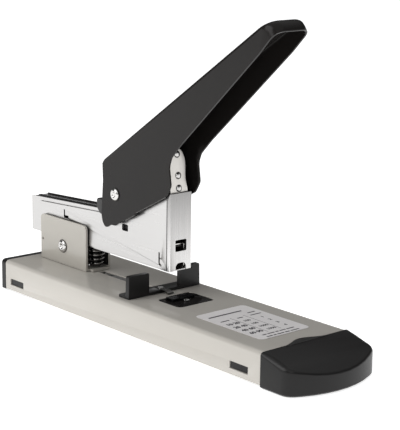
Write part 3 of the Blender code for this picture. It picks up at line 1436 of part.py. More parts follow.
def leaned(shape, centre):
    """A shape along X turned about a centre so that it stands square to the leaning blade."""
    turn = Matrix.Rotation(-BLADE_LEAN, 3, "Y")
    bmesh.ops.rotate(shape, cent=centre, matrix=turn, verts=shape.verts)
    return shape


def build_driver(chrome, steel):
    """The driver blade, the carrier riveted behind it and the three rivets."""
    blade = add_object("driver_blade", blade_shape(), "ram", chrome)
    pin_x = HANDLE_HINGE_X + DRIVE_PIN_FORWARD
    pin_z = hinge_z + DRIVE_PIN_RISE
    jaw = DRIVE_SLEEVE_RADIUS + GAP
    low = pin_z - jaw - CARRIER_ARM
    top = head_bottom + BLADE_TOP_HEIGHT - BLADE_RIVET_DROPS[0] + BLADE_RIVET_HEAD_RADIUS
    shoulder = pin_z + jaw + CARRIER_UPPER_ARM
    jaw_rear = pin_x - DRIVE_EYE_RADIUS
    jaw_front = pin_x + DRIVE_SLEEVE_RADIUS + DRIVE_SLEEVE_TRAVEL
    face = blade_rear_x - GAP
    outline = (
        (face - blade_lean(low), low),
        (face - blade_lean(top), top),
        (face - blade_lean(top) - CARRIER_DEPTH, top),
        (face - blade_lean(top) - CARRIER_DEPTH, shoulder),
        (jaw_rear, shoulder),
        (jaw_rear, pin_z + jaw),
        (jaw_front, pin_z + jaw),
        (jaw_front, pin_z - jaw),
        (jaw_rear, pin_z - jaw),
        (jaw_rear, low),
    )
    half = CARRIER_WIDTH / 2
    carrier = add_object("ram_carrier", prism(outline, "y", -half, half), "ram", steel)
    for name, drop in zip(("top", "middle", "bottom"), BLADE_RIVET_DROPS):
        z = head_bottom + BLADE_TOP_HEIGHT - drop
        front = blade_front_x - blade_lean(z)
        centre = (front, 0.0, z)
        inside = -CARRIER_DEPTH if name != "bottom" else jaw_front + GAP - front
        hole = rod(BLADE_RIVET_RADIUS + GAP, "x", centre, inside - 2 * OVERRUN, OVERRUN, SMALL_SIDES)
        combine(carrier, leaned(hole, centre), "ram", "DIFFERENCE")
        hole = rod(BLADE_RIVET_RADIUS + GAP, "x", centre, -BLADE_THICKNESS - OVERRUN, OVERRUN, SMALL_SIDES)
        combine(blade, leaned(hole, centre), "ram", "DIFFERENCE")
        seat = GAP / 3
        profile = [(along, BLADE_RIVET_RADIUS) for along in (inside, seat)]
        profile.append((seat, BLADE_RIVET_HEAD_RADIUS))
        for rise, width in BLADE_RIVET_CROWN_SHARES:
            profile.append((seat + BLADE_RIVET_HEAD * rise, BLADE_RIVET_HEAD_RADIUS * width))
        rivet = leaned(turned(profile, "x", centre, SMALL_SIDES), centre)
        add_object(f"blade_rivet_{name}", rivet, "ram", steel)


# Handle, drawn along its top edge: the first value runs from the hinge towards the tip, the second
# square to the top edge


def lever_point(forward, rise):
    """A place given level and upright from the hinge, in the lever's own frame."""
    along = forward * math.cos(HANDLE_SLOPE) + rise * math.sin(HANDLE_SLOPE)
    square = rise * math.cos(HANDLE_SLOPE) - forward * math.sin(HANDLE_SLOPE)
    return along, square


def handle_outline():
    """The flange's outline from its shares."""
    corners = []
    for along, square, rounding in HANDLE_OUTLINE_SHARES:
        corners.append((along * HANDLE_REACH, square * HANDLE_CROWN, rounding * HANDLE_TIP_RADIUS))
    return filleted(corners, steps=3)


def fold_tuck(radius, depth):
    """How far a rounded edge of that radius stands in, at a depth below its crown."""
    reach = max(radius - depth, 0.0)
    return radius - math.sqrt(radius**2 - reach**2)


def lever_envelope(inset, low, rear):
    """A rounded bar that fills the handle, inset from its skin. It flares towards the tip, its long
    edges are rounded as the folded sheet is, and its end is drawn round like a spoon's."""
    half = HANDLE_WIDTH / 2 - inset
    top = HANDLE_CROWN - inset
    tip = HANDLE_REACH - inset
    fold = HANDLE_FOLD_RADIUS - inset / 2
    nose = HANDLE_NOSE_RADIUS - inset
    corner = HANDLE_TIP_RADIUS - inset
    flare_start = HANDLE_REACH * HANDLE_FLARE_SHARE
    shape = bmesh.new()
    rings = []
    for share in HANDLE_RING_SHARES:
        depth = nose * share
        tuck = fold_tuck(fold, depth)
        end = tip - fold_tuck(nose, depth)
        outline = filleted(
            (
                (rear, -half + tuck, 0.0),
                (flare_start, -half + tuck, 0.0),
                (end, -half - HANDLE_FLARE + tuck, corner),
                (end, half + HANDLE_FLARE - tuck, corner),
                (flare_start, half - tuck, 0.0),
                (rear, half - tuck, 0.0),
            ),
            steps=6,
        )
        if not rings:
            rings.append([shape.verts.new((along, across, low)) for along, across in outline])
        rings.append([shape.verts.new((along, across, top - depth)) for along, across in outline])
    join_rings(shape, rings)
    return shape


def build_handle(paint):
    """The lever: a channel folded from sheet, closed and rounded at its tip, open below."""
    half = HANDLE_WIDTH / 2 + HANDLE_FLARE
    below = -HANDLE_CROWN * 2
    outline = prism(handle_outline(), "y", -half - OVERRUN, half + OVERRUN)
    shell = add_object("handle_shell", lever_envelope(0.0, below, -HANDLE_REACH / 2), "handle", paint)
    combine(shell, outline, "handle", "INTERSECT")
    hollow = lever_envelope(HANDLE_SHEET, below - OVERRUN, -HANDLE_REACH / 2 - OVERRUN)
    combine(shell, hollow, "handle", "DIFFERENCE")
    hole = rod(HANDLE_PIN_RADIUS + RIVET_PLAY, "y", (0.0, 0.0, 0.0), -half - OVERRUN, half + OVERRUN)
    combine(shell, hole, "handle", "DIFFERENCE")


def build_handle_hinge(steel):
    """The rivet that the handle turns on, its bush between the plates and the washers beside them."""
    centre = (HANDLE_HINGE_X, 0.0, hinge_z)
    reach = HANDLE_WIDTH / 2 + GAP
    profile = rivet_profile(HANDLE_PIN_RADIUS, HANDLE_PIN_HEAD_RADIUS, HANDLE_PIN_DOME, -reach, reach)
    add_object("handle_pivot_pin", turned(profile, "y", centre), "head", steel)
    bore = HANDLE_PIN_RADIUS + RIVET_PLAY
    half = plate_inner - GAP
    add_object("handle_bush", tube(bore + BUSH_WALL, bore, "y", centre, -half, half), "head", steel)
    near = plate_outer + GAP
    far = HANDLE_WIDTH / 2 - HANDLE_SHEET - GAP
    for side, name in ((-1, "left"), (1, "right")):
        span = sorted((side * near, side * far))
        washer = tube(WASHER_RADIUS, bore, "y", centre, *span)
        add_object(f"handle_washer_{name}", washer, "head", steel)


def build_drive_bracket(steel):
    """The fork under the handle's web: two cheeks, a top plate along the web and a spring shelf."""
    web = HANDLE_CROWN - HANDLE_SHEET - GAP
    slope = math.tan(HANDLE_SLOPE)
    web_rise = web / math.cos(HANDLE_SLOPE)
    eye = lever_point(DRIVE_PIN_FORWARD, DRIVE_PIN_RISE)
    eye_half = DRIVE_EYE_RADIUS
    front_top = lever_point(DRIVE_BRACKET_FRONT, web_rise + DRIVE_BRACKET_FRONT * slope)
    rear_top = lever_point(DRIVE_BRACKET_REAR, web_rise + DRIVE_BRACKET_REAR * slope)
    shelf_rear = lever_point(DRIVE_SHELF_REAR, DRIVE_SHELF_RISE)
    eye_front = lever_point(DRIVE_PIN_FORWARD + eye_half, DRIVE_PIN_RISE + eye_half)
    eye_low = lever_point(DRIVE_PIN_FORWARD + eye_half, DRIVE_PIN_RISE - eye_half)
    eye_rear = lever_point(DRIVE_PIN_FORWARD - eye_half, DRIVE_PIN_RISE - eye_half)
    outline = filleted(
        (
            (*rear_top, 0.0),
            (*shelf_rear, eye_half / 2),
            (*eye_rear, eye_half * DRIVE_EYE_ROUND_SHARE),
            (*eye_low, eye_half * DRIVE_EYE_ROUND_SHARE),
            (*eye_front, eye_half * DRIVE_EYE_ROUND_SHARE),
            (*front_top, 0.0),
        )
    )
    half = DRIVE_BRACKET_WIDTH / 2
    inner = half - DRIVE_BRACKET_SHEET
    bracket = add_object("drive_bracket", prism(outline, "y", -half, -inner), "handle", steel)
    combine(bracket, prism(outline, "y", inner, half), "handle", "UNION")
    plate = block((rear_top[0], front_top[0]), (-half, half), (web - DRIVE_BRACKET_SHEET, web))
    combine(bracket, plate, "handle", "UNION")
    shelf_front = lever_point(DRIVE_SHELF_FRONT, DRIVE_SHELF_RISE)
    thick = DRIVE_BRACKET_SHEET
    shelf = (
        shelf_rear,
        shelf_front,
        lever_point(DRIVE_SHELF_FRONT, DRIVE_SHELF_RISE + thick),
        lever_point(DRIVE_SHELF_REAR, DRIVE_SHELF_RISE + thick),
    )
    combine(bracket, prism(shelf, "y", -half, half), "handle", "UNION")
    reach = (-half - OVERRUN, half + OVERRUN)
    eye_hole = rod(DRIVE_PIN_RADIUS + GAP, "y", (eye[0], 0.0, eye[1]), *reach, SMALL_SIDES)
    combine(bracket, eye_hole, "handle", "DIFFERENCE")


def build_drive_pin(steel):
    """The pin across the fork and the hardened sleeve that pushes the carrier."""
    along, square = lever_point(DRIVE_PIN_FORWARD, DRIVE_PIN_RISE)
    centre = (along, 0.0, square)
    half = DRIVE_BRACKET_WIDTH / 2
    add_object("drive_pin", rod(DRIVE_PIN_RADIUS, "y", centre, -half, half, SMALL_SIDES), "handle", steel)
    inner = half - DRIVE_BRACKET_SHEET - GAP
    sleeve = tube(DRIVE_SLEEVE_RADIUS, DRIVE_PIN_RADIUS + GAP, "y", centre, -inner, inner)
    add_object("drive_sleeve", sleeve, "handle", steel)


def build_return_spring(steel):
    """The spring that lifts the handle again, between the magazine lid and the fork's shelf."""
    wire = RETURN_SPRING_WIRE
    low = lid_top + GAP + wire / 2
    high = hinge_z + DRIVE_SHELF_RISE - GAP - wire / 2
    x = HANDLE_HINGE_X + RETURN_SPRING_FORWARD
    place = upright_spring(x, low, high, RETURN_SPRING_RADIUS, RETURN_SPRING_RADIUS)
    spring_wire("return_spring", "head", steel, wire, RETURN_SPRING_CURLS, place, 9)


def build_all():
    """Every piece, with the colours that the object has."""
    grey_paint = make_material("grey_enamel", (0.50, 0.48, 0.45), 0.35)
    bracket_paint = make_material("grey_bracket_enamel", (0.52, 0.50, 0.46), 0.40)
    black_paint = make_material("black_enamel", (0.035, 0.033, 0.032), 0.38)
    black_plastic = make_material("black_plastic", (0.018, 0.017, 0.017), 0.50)
    rubber = make_material("black_rubber", (0.02, 0.02, 0.02), 0.85)
    chrome = make_material("nickel_plate", (0.78, 0.78, 0.77), 0.22, 1.0)
    steel = make_material("bright_steel", (0.60, 0.60, 0.60), 0.30, 1.0)
    dark_steel = make_material("dark_spring_steel", (0.16, 0.16, 0.17), 0.32, 1.0)
    paper = make_material("label_paper", (0.56, 0.55, 0.55), 0.60)
    build_base_channel(grey_paint)
    build_nose_cap(black_plastic)
    build_rear_cap(black_plastic)
    build_feet(rubber)
    build_bracket(bracket_paint)
    build_bracket_rivets(steel)
    build_head_pivot(steel)
    build_lift_spring(dark_steel)
    build_anvil(black_plastic, steel)
    build_anvil_support(steel)
    build_label(paper)
    build_paper_guide(black_plastic)
    build_guide_strip(steel)
    build_guide_rail(steel)
    build_guide_clip(dark_steel)
    build_guide_rivet(steel)
    build_side_plates(chrome)
    build_column(chrome)
    build_magazine(chrome, steel)
    build_staples(steel)
    build_follower(black_plastic, steel)
    build_top_cover(black_plastic)
    build_saddle(black_plastic)
    build_driver(chrome, steel)
    build_handle(black_paint)
    build_handle_hinge(steel)
    build_drive_bracket(steel)
    build_drive_pin(steel)
    build_return_spring(dark_steel)


start_clean()
make_bodies()
build_all()
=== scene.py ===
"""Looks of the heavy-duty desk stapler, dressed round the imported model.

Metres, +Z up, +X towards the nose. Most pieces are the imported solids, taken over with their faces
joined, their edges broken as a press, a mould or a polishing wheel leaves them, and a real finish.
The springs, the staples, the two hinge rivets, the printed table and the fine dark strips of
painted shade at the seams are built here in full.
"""

import json
import math

import bmesh
import bpy
from mathutils import Matrix, Vector

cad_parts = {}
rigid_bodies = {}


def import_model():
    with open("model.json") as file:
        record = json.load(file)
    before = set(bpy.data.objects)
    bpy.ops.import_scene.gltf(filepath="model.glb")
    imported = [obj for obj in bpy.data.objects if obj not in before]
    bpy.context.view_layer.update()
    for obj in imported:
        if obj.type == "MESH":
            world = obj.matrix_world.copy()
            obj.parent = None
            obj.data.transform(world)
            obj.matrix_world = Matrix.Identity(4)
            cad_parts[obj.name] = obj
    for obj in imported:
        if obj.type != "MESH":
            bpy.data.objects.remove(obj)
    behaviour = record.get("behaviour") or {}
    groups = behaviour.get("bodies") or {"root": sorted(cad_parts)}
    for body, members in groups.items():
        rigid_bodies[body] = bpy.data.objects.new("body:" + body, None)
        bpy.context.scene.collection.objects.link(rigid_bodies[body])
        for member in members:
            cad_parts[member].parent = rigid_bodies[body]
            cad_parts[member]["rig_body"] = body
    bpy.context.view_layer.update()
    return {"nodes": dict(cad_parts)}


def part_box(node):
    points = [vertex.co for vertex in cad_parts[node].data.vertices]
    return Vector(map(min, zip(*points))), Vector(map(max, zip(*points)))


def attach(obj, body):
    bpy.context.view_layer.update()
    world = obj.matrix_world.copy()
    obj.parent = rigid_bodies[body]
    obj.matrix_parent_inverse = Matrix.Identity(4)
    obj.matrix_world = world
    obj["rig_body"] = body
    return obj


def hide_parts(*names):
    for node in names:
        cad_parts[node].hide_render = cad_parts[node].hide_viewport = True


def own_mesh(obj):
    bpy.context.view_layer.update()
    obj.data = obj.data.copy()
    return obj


for leftover in list(bpy.data.objects):
    bpy.data.objects.remove(leftover)
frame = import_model()

MM = 0.001

# The photograph's camera
IMAGE_HEIGHT_PX = 430
FOCAL_PX = 1452.879
SENSOR = 36.0
CAMERA_PLACE = Vector((657.393, -551.6, 268.373)) * MM
CAMERA_AZIMUTH = math.radians(49.029)
CAMERA_DOWN = math.radians(12.882)
CAMERA_ROLL = math.radians(0.722)

# Faces that meet more sharply than this keep an edge
CREASE = math.radians(32)
FLAT_WITHIN = math.radians(1.0)
WELD = 0.002 * MM


def linear(colour):
    """An sRGB hex colour as the linear values that a shader takes."""
    shares = [int(colour[place : place + 2], 16) / 255 for place in (1, 3, 5)]
    bright = [share / 12.92 if share <= 0.04045 else ((share + 0.055) / 1.055) ** 2.4 for share in shares]
    return (*bright, 1.0)


def add_node(tree, kind, inputs=None, **settings):
    """A shader node with its settings. Each input is a value, or the socket that it is linked to."""
    node = tree.nodes.new(kind)
    for name, value in settings.items():
        setattr(node, name, value)
    for name, value in (inputs or {}).items():
        if isinstance(value, bpy.types.NodeSocket):
            tree.links.new(value, node.inputs[name])
        else:
            node.inputs[name].default_value = value
    return node


def make_finish(name, colours, roughness, grain, relief, metallic=0.0, shine=0.5, patch=18.0, detail=3.0):
    """A Principled material. The two colours drift over patches of so many millimetres, and the
    roughness, from its low to its high value, and the relief follow a grain of that size, also in
    millimetres along X, Y and Z. The shine is the specular level of what isn't metal."""
    material = bpy.data.materials.new(name)
    material.use_nodes = True
    tree = material.node_tree
    shader = tree.nodes["Principled BSDF"]
    shader.inputs["Metallic"].default_value = metallic
    shader.inputs["Specular IOR Level"].default_value = shine
    place = add_node(tree, "ShaderNodeTexCoord").outputs["Object"]
    sizes = [1 / (size * MM) for size in grain]
    stretched = add_node(tree, "ShaderNodeMapping", {"Vector": place, "Scale": sizes}).outputs["Vector"]
    drift = add_node(tree, "ShaderNodeTexNoise", {"Vector": place, "Scale": 1 / (patch * MM), "Detail": 2.0})
    fine = add_node(tree, "ShaderNodeTexNoise", {"Vector": stretched, "Scale": 1.0, "Detail": detail})
    first, second = (linear(colour) for colour in colours)
    mixed = add_node(tree, "ShaderNodeMix", {0: drift.outputs["Fac"], 6: first, 7: second}, data_type="RGBA")
    tree.links.new(mixed.outputs[2], shader.inputs["Base Color"])
    low, high = roughness
    spread = {"Value": fine.outputs["Fac"], "From Min": 0.3, "From Max": 0.7, "To Min": low, "To Max": high}
    tree.links.new(add_node(tree, "ShaderNodeMapRange", spread).outputs["Result"], shader.inputs["Roughness"])
    if relief:
        bump = add_node(tree, "ShaderNodeBump", {"Height": fine.outputs["Fac"], "Distance": relief * MM})
        tree.links.new(bump.outputs["Normal"], shader.inputs["Normal"])
    return material


def grey_stove_enamel():
    """Sheet steel sprayed and stoved: a warm grey film with a faint orange peel and soft reflections."""
    return make_finish(
        "grey_stove_enamel",
        colours=("#BEBAB3", "#BAB6AF"),
        roughness=(0.09, 0.13),
        grain=(4.0, 4.0, 4.0),
        relief=0.003,
        detail=1.0,
    )


def bracket_enamel():
    """The base's grey enamel on the smaller stand, half a tone deeper and a little less glossy."""
    return make_finish(
        "bracket_enamel",
        colours=("#B4B0A8", "#AFABA3"),
        roughness=(0.14, 0.18),
        grain=(3.5, 3.5, 3.5),
        relief=0.003,
        detail=1.0,
    )


def painted_shade_inner_enamel():
    """Painted shade: the inward faces of the stand are coloured almost black, as the shade between its
    cheeks.
    """
    return make_finish(
        "painted_shade_inner_enamel",
        colours=("#2B2A28", "#1E1D1C"),
        roughness=(0.45, 0.55),
        grain=(3.0, 3.0, 3.0),
        relief=0.004,
        shine=0.3,
    )


def painted_shade_inner_steel():
    """Painted shade: the inward faces of the head and its core rail are coloured almost black, so the
    openings read as black.
    """
    return make_finish(
        "painted_shade_inner_steel",
        colours=("#1C1B1A", "#262524"),
        roughness=(0.35, 0.45),
        grain=(3.0, 3.0, 3.0),
        relief=0.0,
        shine=0.4,
    )


def black_stove_enamel():
    """Black stoved enamel on the lever: nearly flat on the flanks, with a tight sheen at the folds."""
    shades = ("#1A1817", "#1D1B1A")
    return make_finish(
        "black_stove_enamel",
        colours=shades,
        roughness=(0.17, 0.22),
        grain=(4.0, 4.0, 4.0),
        relief=0.003,
        shine=0.16,
        detail=1.0,
    )


def painted_highlight_black_edge():
    """Painted highlight: the rounded edges of the black enamel are coloured a shade lighter, as the light
    that they catch.
    """
    return make_finish(
        "painted_highlight_black_edge",
        colours=("#3A3836", "#302E2D"),
        roughness=(0.20, 0.26),
        grain=(2.0, 2.0, 2.0),
        relief=0.0,
        shine=0.4,
    )


def black_moulded_abs():
    """Injection-moulded ABS with a fine spark-eroded grain, drawn at a millimetre, and a soft sheen."""
    shades = ("#141313", "#171616")
    return make_finish(
        "black_moulded_abs",
        colours=shades,
        roughness=(0.30, 0.36),
        grain=(1.0, 1.0, 1.0),
        relief=0.002,
        shine=0.30,
        detail=1.0,
    )


def glossy_moulded_abs():
    """ABS from a polished mould, for the cover and the saddle: smoother, with a clearer reflection."""
    return make_finish(
        "glossy_moulded_abs",
        colours=("#0F0E0E", "#131212"),
        roughness=(0.22, 0.28),
        grain=(3.0, 3.0, 3.0),
        relief=0.002,
        detail=1.0,
    )


def foot_rubber():
    """Moulded rubber: matt, slightly grey where it is handled."""
    return make_finish(
        "foot_rubber",
        colours=("#1D1C1B", "#2A2928"),
        roughness=(0.75, 0.9),
        grain=(0.6, 0.6, 0.6),
        relief=0.02,
    )


def satin_nickel():
    """Nickel plate over rolled strip: bright, with the strip's fine lengthwise grain in its sheen."""
    grain = (60.0, 1.2, 1.2)
    return make_finish(
        "satin_nickel",
        colours=("#C6C5C4", "#C1C0BF"),
        roughness=(0.27, 0.31),
        grain=grain,
        relief=0.0,
        metallic=1.0,
        patch=40.0,
    )


# Colours of the column's painted reflection, at its foot and at its top
COLUMN_PAINTED_REFLECTION_SHADES = ("#DCDBDA", "#989796")


def brushed_column_nickel():
    """Nickel plate brushed up and down the column: reflections spread into a soft upright band. Its
    colour goes from bright low down to darker towards the top: a painted reflection of a bright surround near
    the floor."""
    grain = (0.7, 0.7, 40.0)
    finish = make_finish(
        "brushed_column_nickel",
        colours=("#CDCCCB", "#C3C2C1"),
        roughness=(0.24, 0.36),
        grain=grain,
        relief=0.0,
        metallic=1.0,
    )
    tree = finish.node_tree
    low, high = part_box("column_cover")
    place = add_node(tree, "ShaderNodeTexCoord").outputs["Object"]
    height = add_node(tree, "ShaderNodeSeparateXYZ", {"Vector": place})
    span = {"Value": height.outputs["Z"], "From Min": low.z, "From Max": high.z}
    share = add_node(tree, "ShaderNodeMapRange", span).outputs["Result"]
    # Painted reflection: the colour darkens from the column's foot to its top
    shades = {0: share, 6: linear(COLUMN_PAINTED_REFLECTION_SHADES[0]), 7: linear(COLUMN_PAINTED_REFLECTION_SHADES[1])}
    painted_reflection_mix = add_node(tree, "ShaderNodeMix", shades, data_type="RGBA")
    tree.links.new(painted_reflection_mix.outputs[2], tree.nodes["Principled BSDF"].inputs["Base Color"])
    return finish


def polished_blade_steel():
    """Ground and plated blade: warmer and a little softer than the plates, ground along its length."""
    grain = (0.8, 0.8, 30.0)
    return make_finish(
        "polished_blade_steel",
        colours=("#DEDBD6", "#D6D3CE"),
        roughness=(0.28, 0.36),
        grain=grain,
        relief=0.0,
        metallic=1.0,
    )


def turned_steel():
    """Cold-headed and barrelled steel for rivets and pins: a tight bright highlight with dark edges."""
    return make_finish(
        "turned_steel",
        colours=("#D8D7D5", "#B9B8B6"),
        roughness=(0.10, 0.15),
        grain=(1.5, 1.5, 1.5),
        relief=0.0,
        metallic=1.0,
    )


def zinc_plated_steel():
    """Bright zinc on the stamped inner pieces: greyer than nickel, slightly cloudy."""
    return make_finish(
        "zinc_plated_steel",
        colours=("#B4B6B7", "#A3A5A7"),
        roughness=(0.28, 0.40),
        grain=(3.0, 3.0, 3.0),
        relief=0.0,
        metallic=1.0,
    )


def blued_die_steel():
    """Hardened steel of the die, blued black by its heat treatment and oiled."""
    return make_finish(
        "blued_die_steel",
        colours=("#3A3A3C", "#2C2C2E"),
        roughness=(0.24, 0.32),
        grain=(2.0, 2.0, 2.0),
        relief=0.0,
        metallic=1.0,
    )


def spring_steel():
    """Drawn wire, oil-tempered and oiled: dark, with long bright streaks along the turns."""
    return make_finish(
        "spring_steel",
        colours=("#8C8A87", "#6A6866"),
        roughness=(0.16, 0.22),
        grain=(1.0, 1.0, 1.0),
        relief=0.0,
        metallic=1.0,
    )


def galvanised_wire():
    """Galvanised staple wire: a clean silver with a faint streak along each wire."""
    return make_finish(
        "galvanised_wire",
        colours=("#DAD9D6", "#C4C3C0"),
        roughness=(0.20, 0.30),
        grain=(0.5, 6.0, 6.0),
        relief=0.0,
        metallic=1.0,
    )


def painted_seam_shade():
    """Painted shade for seams and rivet feet: a thin, almost black line."""
    return make_finish(
        "painted_seam_shade",
        colours=("#141312", "#1C1A19"),
        roughness=(0.5, 0.6),
        grain=(2.0, 2.0, 2.0),
        relief=0.0,
        shine=0.3,
    )


def label_film():
    """White vinyl film under a satin laminate: flat, with a faint, even sheen."""
    return make_finish(
        "label_film",
        colours=("#EBE8E8", "#E6E3E3"),
        roughness=(0.36, 0.44),
        grain=(5.0, 5.0, 5.0),
        relief=0.0,
        patch=24.0,
    )


def printing_ink():
    """Black screen ink under the laminate: a dense, even, slightly soft black."""
    return make_finish(
        "printing_ink",
        colours=("#232128", "#2B2930"),
        roughness=(0.40, 0.50),
        grain=(2.0, 2.0, 2.0),
        relief=0.0,
    )


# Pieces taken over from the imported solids

# How far an edge is rounded, from the keenest kind of edge to the fullest
HAIR_EDGE = 0.04 * MM
KEEN_EDGE = 0.08 * MM
CRISP_EDGE = 0.1 * MM
THIN_SHEET_EDGE = 0.12 * MM
FIRM_EDGE = 0.15 * MM
EASED_EDGE = 0.2 * MM
GENTLE_EDGE = 0.25 * MM
ROUNDED_EDGE = 0.3 * MM
FULL_EDGE = 0.35 * MM
BROAD_EDGE = 0.5 * MM


def solid_copy(node):
    """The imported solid's faces, joined to each other again and merged where they are flat."""
    shape = bmesh.new()
    shape.from_mesh(frame["nodes"][node].data)
    bmesh.ops.remove_doubles(shape, verts=shape.verts, dist=WELD)
    bmesh.ops.dissolve_limit(shape, angle_limit=FLAT_WITHIN, verts=shape.verts, edges=shape.edges)
    return shape


def add_piece(name, shape, body, *finishes):
    """A piece of the scene on its body, shaded smooth but for its creases."""
    mesh = bpy.data.meshes.new(name)
    shape.to_mesh(mesh)
    shape.free()
    for finish in finishes:
        mesh.materials.append(finish)
    mesh.shade_smooth()
    mesh.set_sharp_from_angle(angle=CREASE)
    piece = bpy.data.objects.new(name, mesh)
    bpy.context.scene.collection.objects.link(piece)
    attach(piece, body)
    return piece


def break_edges(piece, width, steps=2, painted_edge_highlight=False):
    """Rounds a piece's edges to a width. With a painted edge highlight, the rounded edges take the piece's
    second finish, a lighter colour.
    """
    rounding = piece.modifiers.new("broken_edges", "BEVEL")
    rounding.width = width
    rounding.segments = steps
    rounding.limit_method = "ANGLE"
    rounding.angle_limit = CREASE
    rounding.miter_outer = "MITER_ARC"
    rounding.harden_normals = True
    if painted_edge_highlight:
        # painted highlight: the bevel takes the lighter second finish
        rounding.material = 1
    return piece


def dark_inside(piece):
    """Faces that look at the middle plane, and so line a channel, take the piece's second finish."""
    for face in piece.data.polygons:
        if face.normal.y * face.center.y < -abs(face.center.y) / 2:
            face.material_index = 1
    return piece


def body_of_node(node):
    """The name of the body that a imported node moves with."""
    return frame["nodes"][node]["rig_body"]


def take_over(node, width, *finishes, painted_edge_highlight=False):
    """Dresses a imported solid: same place and form, joined faces, broken edges and a real finish."""
    piece = add_piece(f"{node}_dressed", solid_copy(node), body_of_node(node), *finishes)
    break_edges(piece, width, painted_edge_highlight=painted_edge_highlight)
    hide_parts(node)
    return piece


# Turned and wound pieces


def turned(profile, axis, centre, sides):
    """A solid of revolution: (along, radius) pairs from one end to the other, about an axis."""
    along_axis = Vector(axis).normalized()
    across = along_axis.orthogonal().normalized()
    third = along_axis.cross(across)
    shape = bmesh.new()
    rings = []
    for along, radius in profile:
        ring = []
        for step in range(sides):
            angle = 2 * math.pi * step / sides
            spoke = across * math.cos(angle) + third * math.sin(angle)
            ring.append(shape.verts.new(Vector(centre) + along_axis * along + spoke * radius))
        rings.append(ring)
    for ring, after in zip(rings, rings[1:]):
        for step in range(sides):
            beside = (step + 1) % sides
            shape.faces.new((ring[step], ring[beside], after[beside], after[step]))
    shape.faces.new(rings[0])
    shape.faces.new(rings[-1])
    bmesh.ops.recalc_face_normals(shape, faces=shape.faces)
    return shape


def wire_along(path, thickness, sides):
    """A round wire that follows a path, with square-cut ends."""
    shape = bmesh.new()
    rings = []
    side = (path[1] - path[0]).orthogonal().normalized()
    for index, spot in enumerate(path):
        ahead = path[min(index + 1, len(path) - 1)] - path[max(index - 1, 0)]
        ahead.normalize()
        side = (side - ahead * side.dot(ahead)).normalized()
        third = ahead.cross(side)
        ring = []
        for step in range(sides):
            angle = 2 * math.pi * step / sides
            spoke = side * math.cos(angle) + third * math.sin(angle)
            ring.append(shape.verts.new(spot + spoke * thickness / 2))
        rings.append(ring)
    for ring, after in zip(rings, rings[1:]):
        for step in range(sides):
            beside = (step + 1) % sides
            shape.faces.new((ring[step], ring[beside], after[beside], after[step]))
    shape.faces.new(rings[0])
    shape.faces.new(rings[-1])
    bmesh.ops.recalc_face_normals(shape, faces=shape.faces)
    return shape


WIRE_SIDES = 12
TURN_STEPS = 28


def coil(start, end, radii, turns, first, second):
    """The middle line of a spring between two points, its radius going from the first to the last."""
    count = int(turns * TURN_STEPS)
    path = []
    for index in range(count + 1):
        share = index / count
        angle = 2 * math.pi * turns * share
        radius = radii[0] + (radii[1] - radii[0]) * share
        spoke = Vector(first) * math.cos(angle) + Vector(second) * math.sin(angle)
        path.append(start.lerp(end, share) + spoke * radius)
    return path


def spring(node, wire, radii, turns, along, finish):
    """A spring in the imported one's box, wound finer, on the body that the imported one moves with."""
    low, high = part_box(node)
    middle = (low + high) / 2
    axis = Vector(along)
    half = abs((high - low).dot(axis)) / 2 - wire / 2
    ends = (middle - axis * half, middle + axis * half)
    first = axis.orthogonal().normalized()
    path = coil(*ends, radii, turns, first, axis.cross(first))
    piece = add_piece(f"{node}_wire", wire_along(path, wire, WIRE_SIDES), body_of_node(node), finish)
    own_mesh(piece)
    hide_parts(node)
    return piece


LIFT_SPRING_WIRE = 1.3 * MM
LIFT_SPRING_RADII = (3.2 * MM, 5.0 * MM)
LIFT_SPRING_TURNS = 4.5
RETURN_SPRING_WIRE = 1.2 * MM
RETURN_SPRING_RADIUS = 4.0 * MM
RETURN_SPRING_TURNS = 7
FOLLOWER_SPRING_WIRE = 0.6 * MM
FOLLOWER_SPRING_RADIUS = 1.7 * MM
FOLLOWER_SPRING_TURNS = 22


def build_springs():
    """The lift spring under the head, the lever's return spring and the follower's long spring."""
    wire = spring_steel()
    upright = (0.0, 0.0, 1.0)
    spring(
        "lift_spring",
        LIFT_SPRING_WIRE,
        LIFT_SPRING_RADII,
        LIFT_SPRING_TURNS,
        upright,
        wire,
    )
    radii = (RETURN_SPRING_RADIUS, RETURN_SPRING_RADIUS)
    spring(
        "return_spring",
        RETURN_SPRING_WIRE,
        radii,
        RETURN_SPRING_TURNS,
        upright,
        wire,
    )
    radii = (FOLLOWER_SPRING_RADIUS, FOLLOWER_SPRING_RADIUS)
    spring(
        "follower_spring",
        FOLLOWER_SPRING_WIRE,
        radii,
        FOLLOWER_SPRING_TURNS,
        (1.0, 0.0, 0.0),
        wire,
    )


# Staples: one bent wire after another along the strip

STAPLE_WIRE = 0.9 * MM
STAPLE_CORNER = 0.7 * MM
STAPLE_ROUNDING = 0.16 * MM


def staple_outline(low, high, inset):
    """The wire arch of one staple seen along the strip, as (y, z) points, inset all round."""
    half = high.y - inset
    top = high.z - inset
    bottom = low.z + inset
    inner = half - STAPLE_WIRE + 2 * inset
    under = top - STAPLE_WIRE + 2 * inset
    cut = STAPLE_CORNER - inset
    return (
        (-half, bottom),
        (-half, top - cut),
        (-half + cut / 3, top - cut / 3),
        (-half + cut, top),
        (half - cut, top),
        (half - cut / 3, top - cut / 3),
        (half, top - cut),
        (half, bottom),
        (inner, bottom),
        (inner, under),
        (-inner, under),
        (-inner, bottom),
    )


